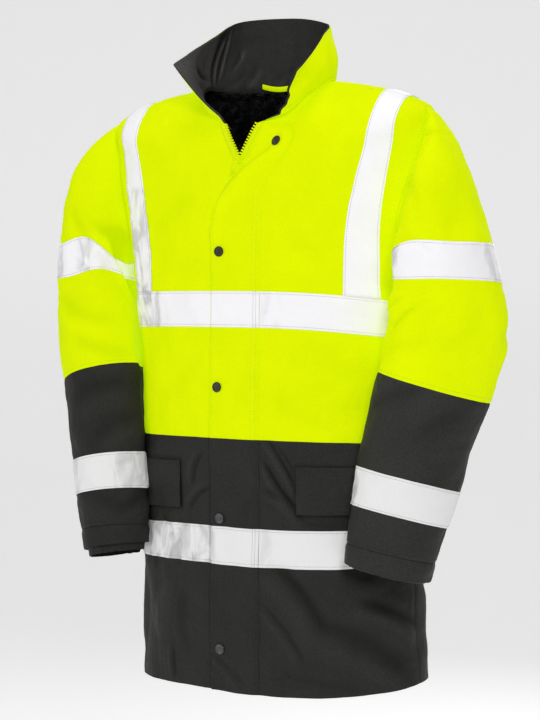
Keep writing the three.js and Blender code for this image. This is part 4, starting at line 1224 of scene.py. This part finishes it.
def run_along(name, lines, tree, finish, **sizes):
    """Runs a tree along lines of places in mm, and keeps its plain mesh."""
    points = np.concatenate(lines) * MM
    edges, at = [], 0
    for line in lines:
        edges += [(at + i, at + i + 1) for i in range(len(line) - 1)]
        at += len(line)
    mesh = bpy.data.meshes.new(name + "_lines")
    mesh.from_pydata(points.tolist(), edges, [])
    source = bpy.data.objects.new(name + "_lines", mesh)
    bpy.context.collection.objects.link(source)
    nodes = source.modifiers.new(name, "NODES")
    nodes.node_group = tree
    for item in tree.interface.items_tree:
        if item.in_out == "INPUT" and item.name in sizes:
            nodes[item.identifier] = sizes[item.name] * MM
        if item.in_out == "INPUT" and item.name == "Finish":
            nodes[item.identifier] = finish
    shown = source.evaluated_get(bpy.context.evaluated_depsgraph_get())
    made = bpy.data.meshes.new_from_object(shown)
    made.name = name
    bpy.data.objects.remove(source)
    return place(bpy.data.objects.new(name, made))


STITCH, TOOTH = repeated("stitching", False), repeated("zip_teeth", True)
STITCH_SIZES = {"Spacing": 3.6, "Length": 2.7, "Width": 0.55, "Height": 0.45}
for thread, lines in LINES.items():
    piece = run_along(f"stitches_{thread}", lines, STITCH, THREADS[thread], **STITCH_SIZES)
    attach(piece, "jacket")

# Zip along the open V: tapes, teeth, slider and pull
for word, side in SIDES:
    t = np.linspace(NOTCH + 0.1, NECK - 0.05, 40)[:, None]
    x = v_half_width(t) + np.linspace(-0.8, 7.0, 8)[None, :]
    x = np.maximum(x, 0.25)
    P, N = body_skin(side * angle_at_x(x, t + 0 * x), t + 0 * x)
    size, area = cut_size(P)
    piece = shell(f"cloth_zip_tape_{word}", P, N, 0.9, 1.7, [ZIP_YELLOW])
    cloth(piece, f"zip_tape_{word}")
teeth = []
for word, side in SIDES:
    t = np.linspace(NOTCH + 0.12, NECK - 0.08, 60)
    P, N = body_skin(side * angle_at_x(np.maximum(v_half_width(t) - (1.9 if side > 0 else 2.5), 1.4), t), t)
    teeth.append(P + N * 1.6)
piece = run_along("zip_teeth", teeth, TOOTH, ZIP_YELLOW, Spacing=4.0, Length=2.0, Width=3.4, Height=3.4)
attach(piece, "jacket")
for node in ("zip_slider", "zip_pull"):
    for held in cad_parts[node].material_slots:
        held.material = ZIP_YELLOW


def turned(profile, steps_=48):
    """A closed round piece from a profile of radius and height."""
    count = len(profile)
    points = [(0, 0, profile[0][1]), (0, 0, profile[-1][1])]
    for k in range(steps_):
        a = 2 * math.pi * k / steps_
        points += [(r * math.cos(a), r * math.sin(a), h) for r, h in profile[1:-1]]
    m, faces = count - 2, []
    for k in range(steps_):
        a, b = 2 + k * m, 2 + (k + 1) % steps_ * m
        faces.append((0, b, a))
        faces += [(a + i, b + i, b + i + 1, a + i + 1) for i in range(m - 1)]
        faces.append((a + m - 1, b + m - 1, 1))
    return np.array(points, float), faces


# Press studs: a rolled rim round a shallow dished middle; the top one is the ring of a socket
RIM = [(0, 0), (6.2, 0), (7.0, 0.5), (7.2, 1.2)]
CAP = RIM + [(6.9, 1.9), (6.2, 2.25), (5.4, 2.2), (4.9, 1.85), (4.3, 1.8), (2.6, 2.05), (0, 2.15)]
RING = RIM + [(6.8, 2.0), (5.8, 2.3), (4.4, 2.2), (3.7, 1.7), (3.3, 0.7), (1.9, 0.6), (1.2, 1.2), (0, 1.4)]
STUDS = [(-25, -233, CAP), (-25, -418, CAP), (-23, -598, CAP), (-21, -778, CAP), (61, -89, RING)]
for k, (x, z, profile) in enumerate(STUDS):
    P, N = flap_skin(np.array([x]), np.array([z]))
    points, faces = turned([(r, h * 1.15) for r, h in profile])
    turn = np.array(Vector((0, 0, 1)).rotation_difference(Vector(N[0])).to_matrix())
    points = (points @ turn.T + P[0] + N[0] * 4.0) * MM
    mesh = bpy.data.meshes.new(f"stud_{k + 1}")
    mesh.from_pydata(points.tolist(), [], faces)
    mesh.polygons.foreach_set("use_smooth", np.ones(len(faces), bool))
    # Studs on the yellow take the painted-shade copy of the metal.
    mesh.materials.append(STUD_PAINTED_SHADE if z > -500 else STUD_METAL)
    piece = place(bpy.data.objects.new(f"stud_{k + 1}", mesh))
    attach(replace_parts(piece, f"snap_{k + 1}"), "jacket")

# Hanger loop behind the neck
x = np.linspace(-30, 30, 60)[None, :]
up = np.linspace(0, 1, 9)[:, None]
away = 1 - (x / 30) ** 2
across = 1.25 * x + 1 + 0 * up
ring_y = body(180 - angle_at_x(across, NECK + 0 * across), NECK + 0 * across)[..., 1] - 4.4 - 0.4
P = np.stack([across, ring_y - 6 * away + 0 * up, 5 - 7 * (1 - up) - 5 * away + 0.4 * np.sin(x / 7)], -1)
N = np.broadcast_to(np.array([0.0, -1.0, 0.0]), P.shape)
size, area = cut_size(P)
P[..., 1] -= 0.8 * np.sin(up * math.pi) + 0.3 * np.sin(x / 5)
piece = shell("cloth_hanger_loop", P, N, 0.0, 1.1, [YELLOW])
cloth(piece, "hanger_loop")

# Floor and backdrop in one sweep, light and camera
AIM = Vector((0, 0, -0.384))
EYE = Vector((0.5290, -0.8475, 0.0454)).normalized()
EYE_AWAY = 2.6
SWEEP = [(-3.0, -1.5), (3.5, -1.5), (4.6, -1.42), (5.5, -1.15), (6.1, -0.7), (6.4, -0.1), (6.5, 3.6)]
SWEEP_HALF = 7.5
FLOOR = Finish("floor").done(Base_Color=(0.82, 0.82, 0.82, 1), Roughness=0.9, **glowing((1, 1, 1, 1), 0.38))
back = Vector((-EYE.x, -EYE.y, 0)).normalized()
across = Vector((-back.y, back.x, 0))
corners = [back * r + across * (SWEEP_HALF * w) + Vector((0, 0, z)) for r, z in SWEEP for w in (1, -1)]
mesh = bpy.data.meshes.new("floor")
strips = [(2 * k, 2 * k + 1, 2 * k + 3, 2 * k + 2) for k in range(len(SWEEP) - 1)]
mesh.from_pydata([tuple(c) for c in corners], [], strips)
mesh.polygons.foreach_set("use_smooth", np.ones(len(SWEEP) - 1, bool))
mesh.materials.append(FLOOR)
place(bpy.data.objects.new("floor", mesh))

scene = bpy.context.scene
scene.view_settings.view_transform = "Standard"
world = bpy.data.worlds.new("studio")
scene.world = world
world.use_nodes = True
world.node_tree.nodes["Background"].inputs["Color"].default_value = (1, 1, 1, 1)
world.node_tree.nodes["Background"].inputs["Strength"].default_value = 0.28
for name, at, power, size in (
    ("key", (1.9, -2.3, 1.0), 46, 0.9),
    ("fill", (-2.2, -2.3, 0.3), 22, 1.6),
    ("top", (0.1, -0.2, 2.4), 26, 1.4),
    ("back", (-0.6, 2.6, 0.6), 26, 1.6),
):
    light = bpy.data.lights.new(name, "AREA")
    light.energy, light.size = power, size
    lamp = bpy.data.objects.new(name, light)
    bpy.context.collection.objects.link(lamp)
    lamp.location = at
    lamp.rotation_euler = (AIM - Vector(at)).to_track_quat("-Z", "Y").to_euler()

camera = bpy.data.cameras.new("camera")
camera.sensor_fit, camera.sensor_height, camera.lens = "VERTICAL", 36, 36 * 1856 / 720
eye = bpy.data.objects.new("camera", camera)
bpy.context.collection.objects.link(eye)
eye.location = AIM + EYE * EYE_AWAY
eye.rotation_euler = (AIM - eye.location).to_track_quat("-Z", "Y").to_euler()
scene.camera = eye

bpy.context.view_layer.update()
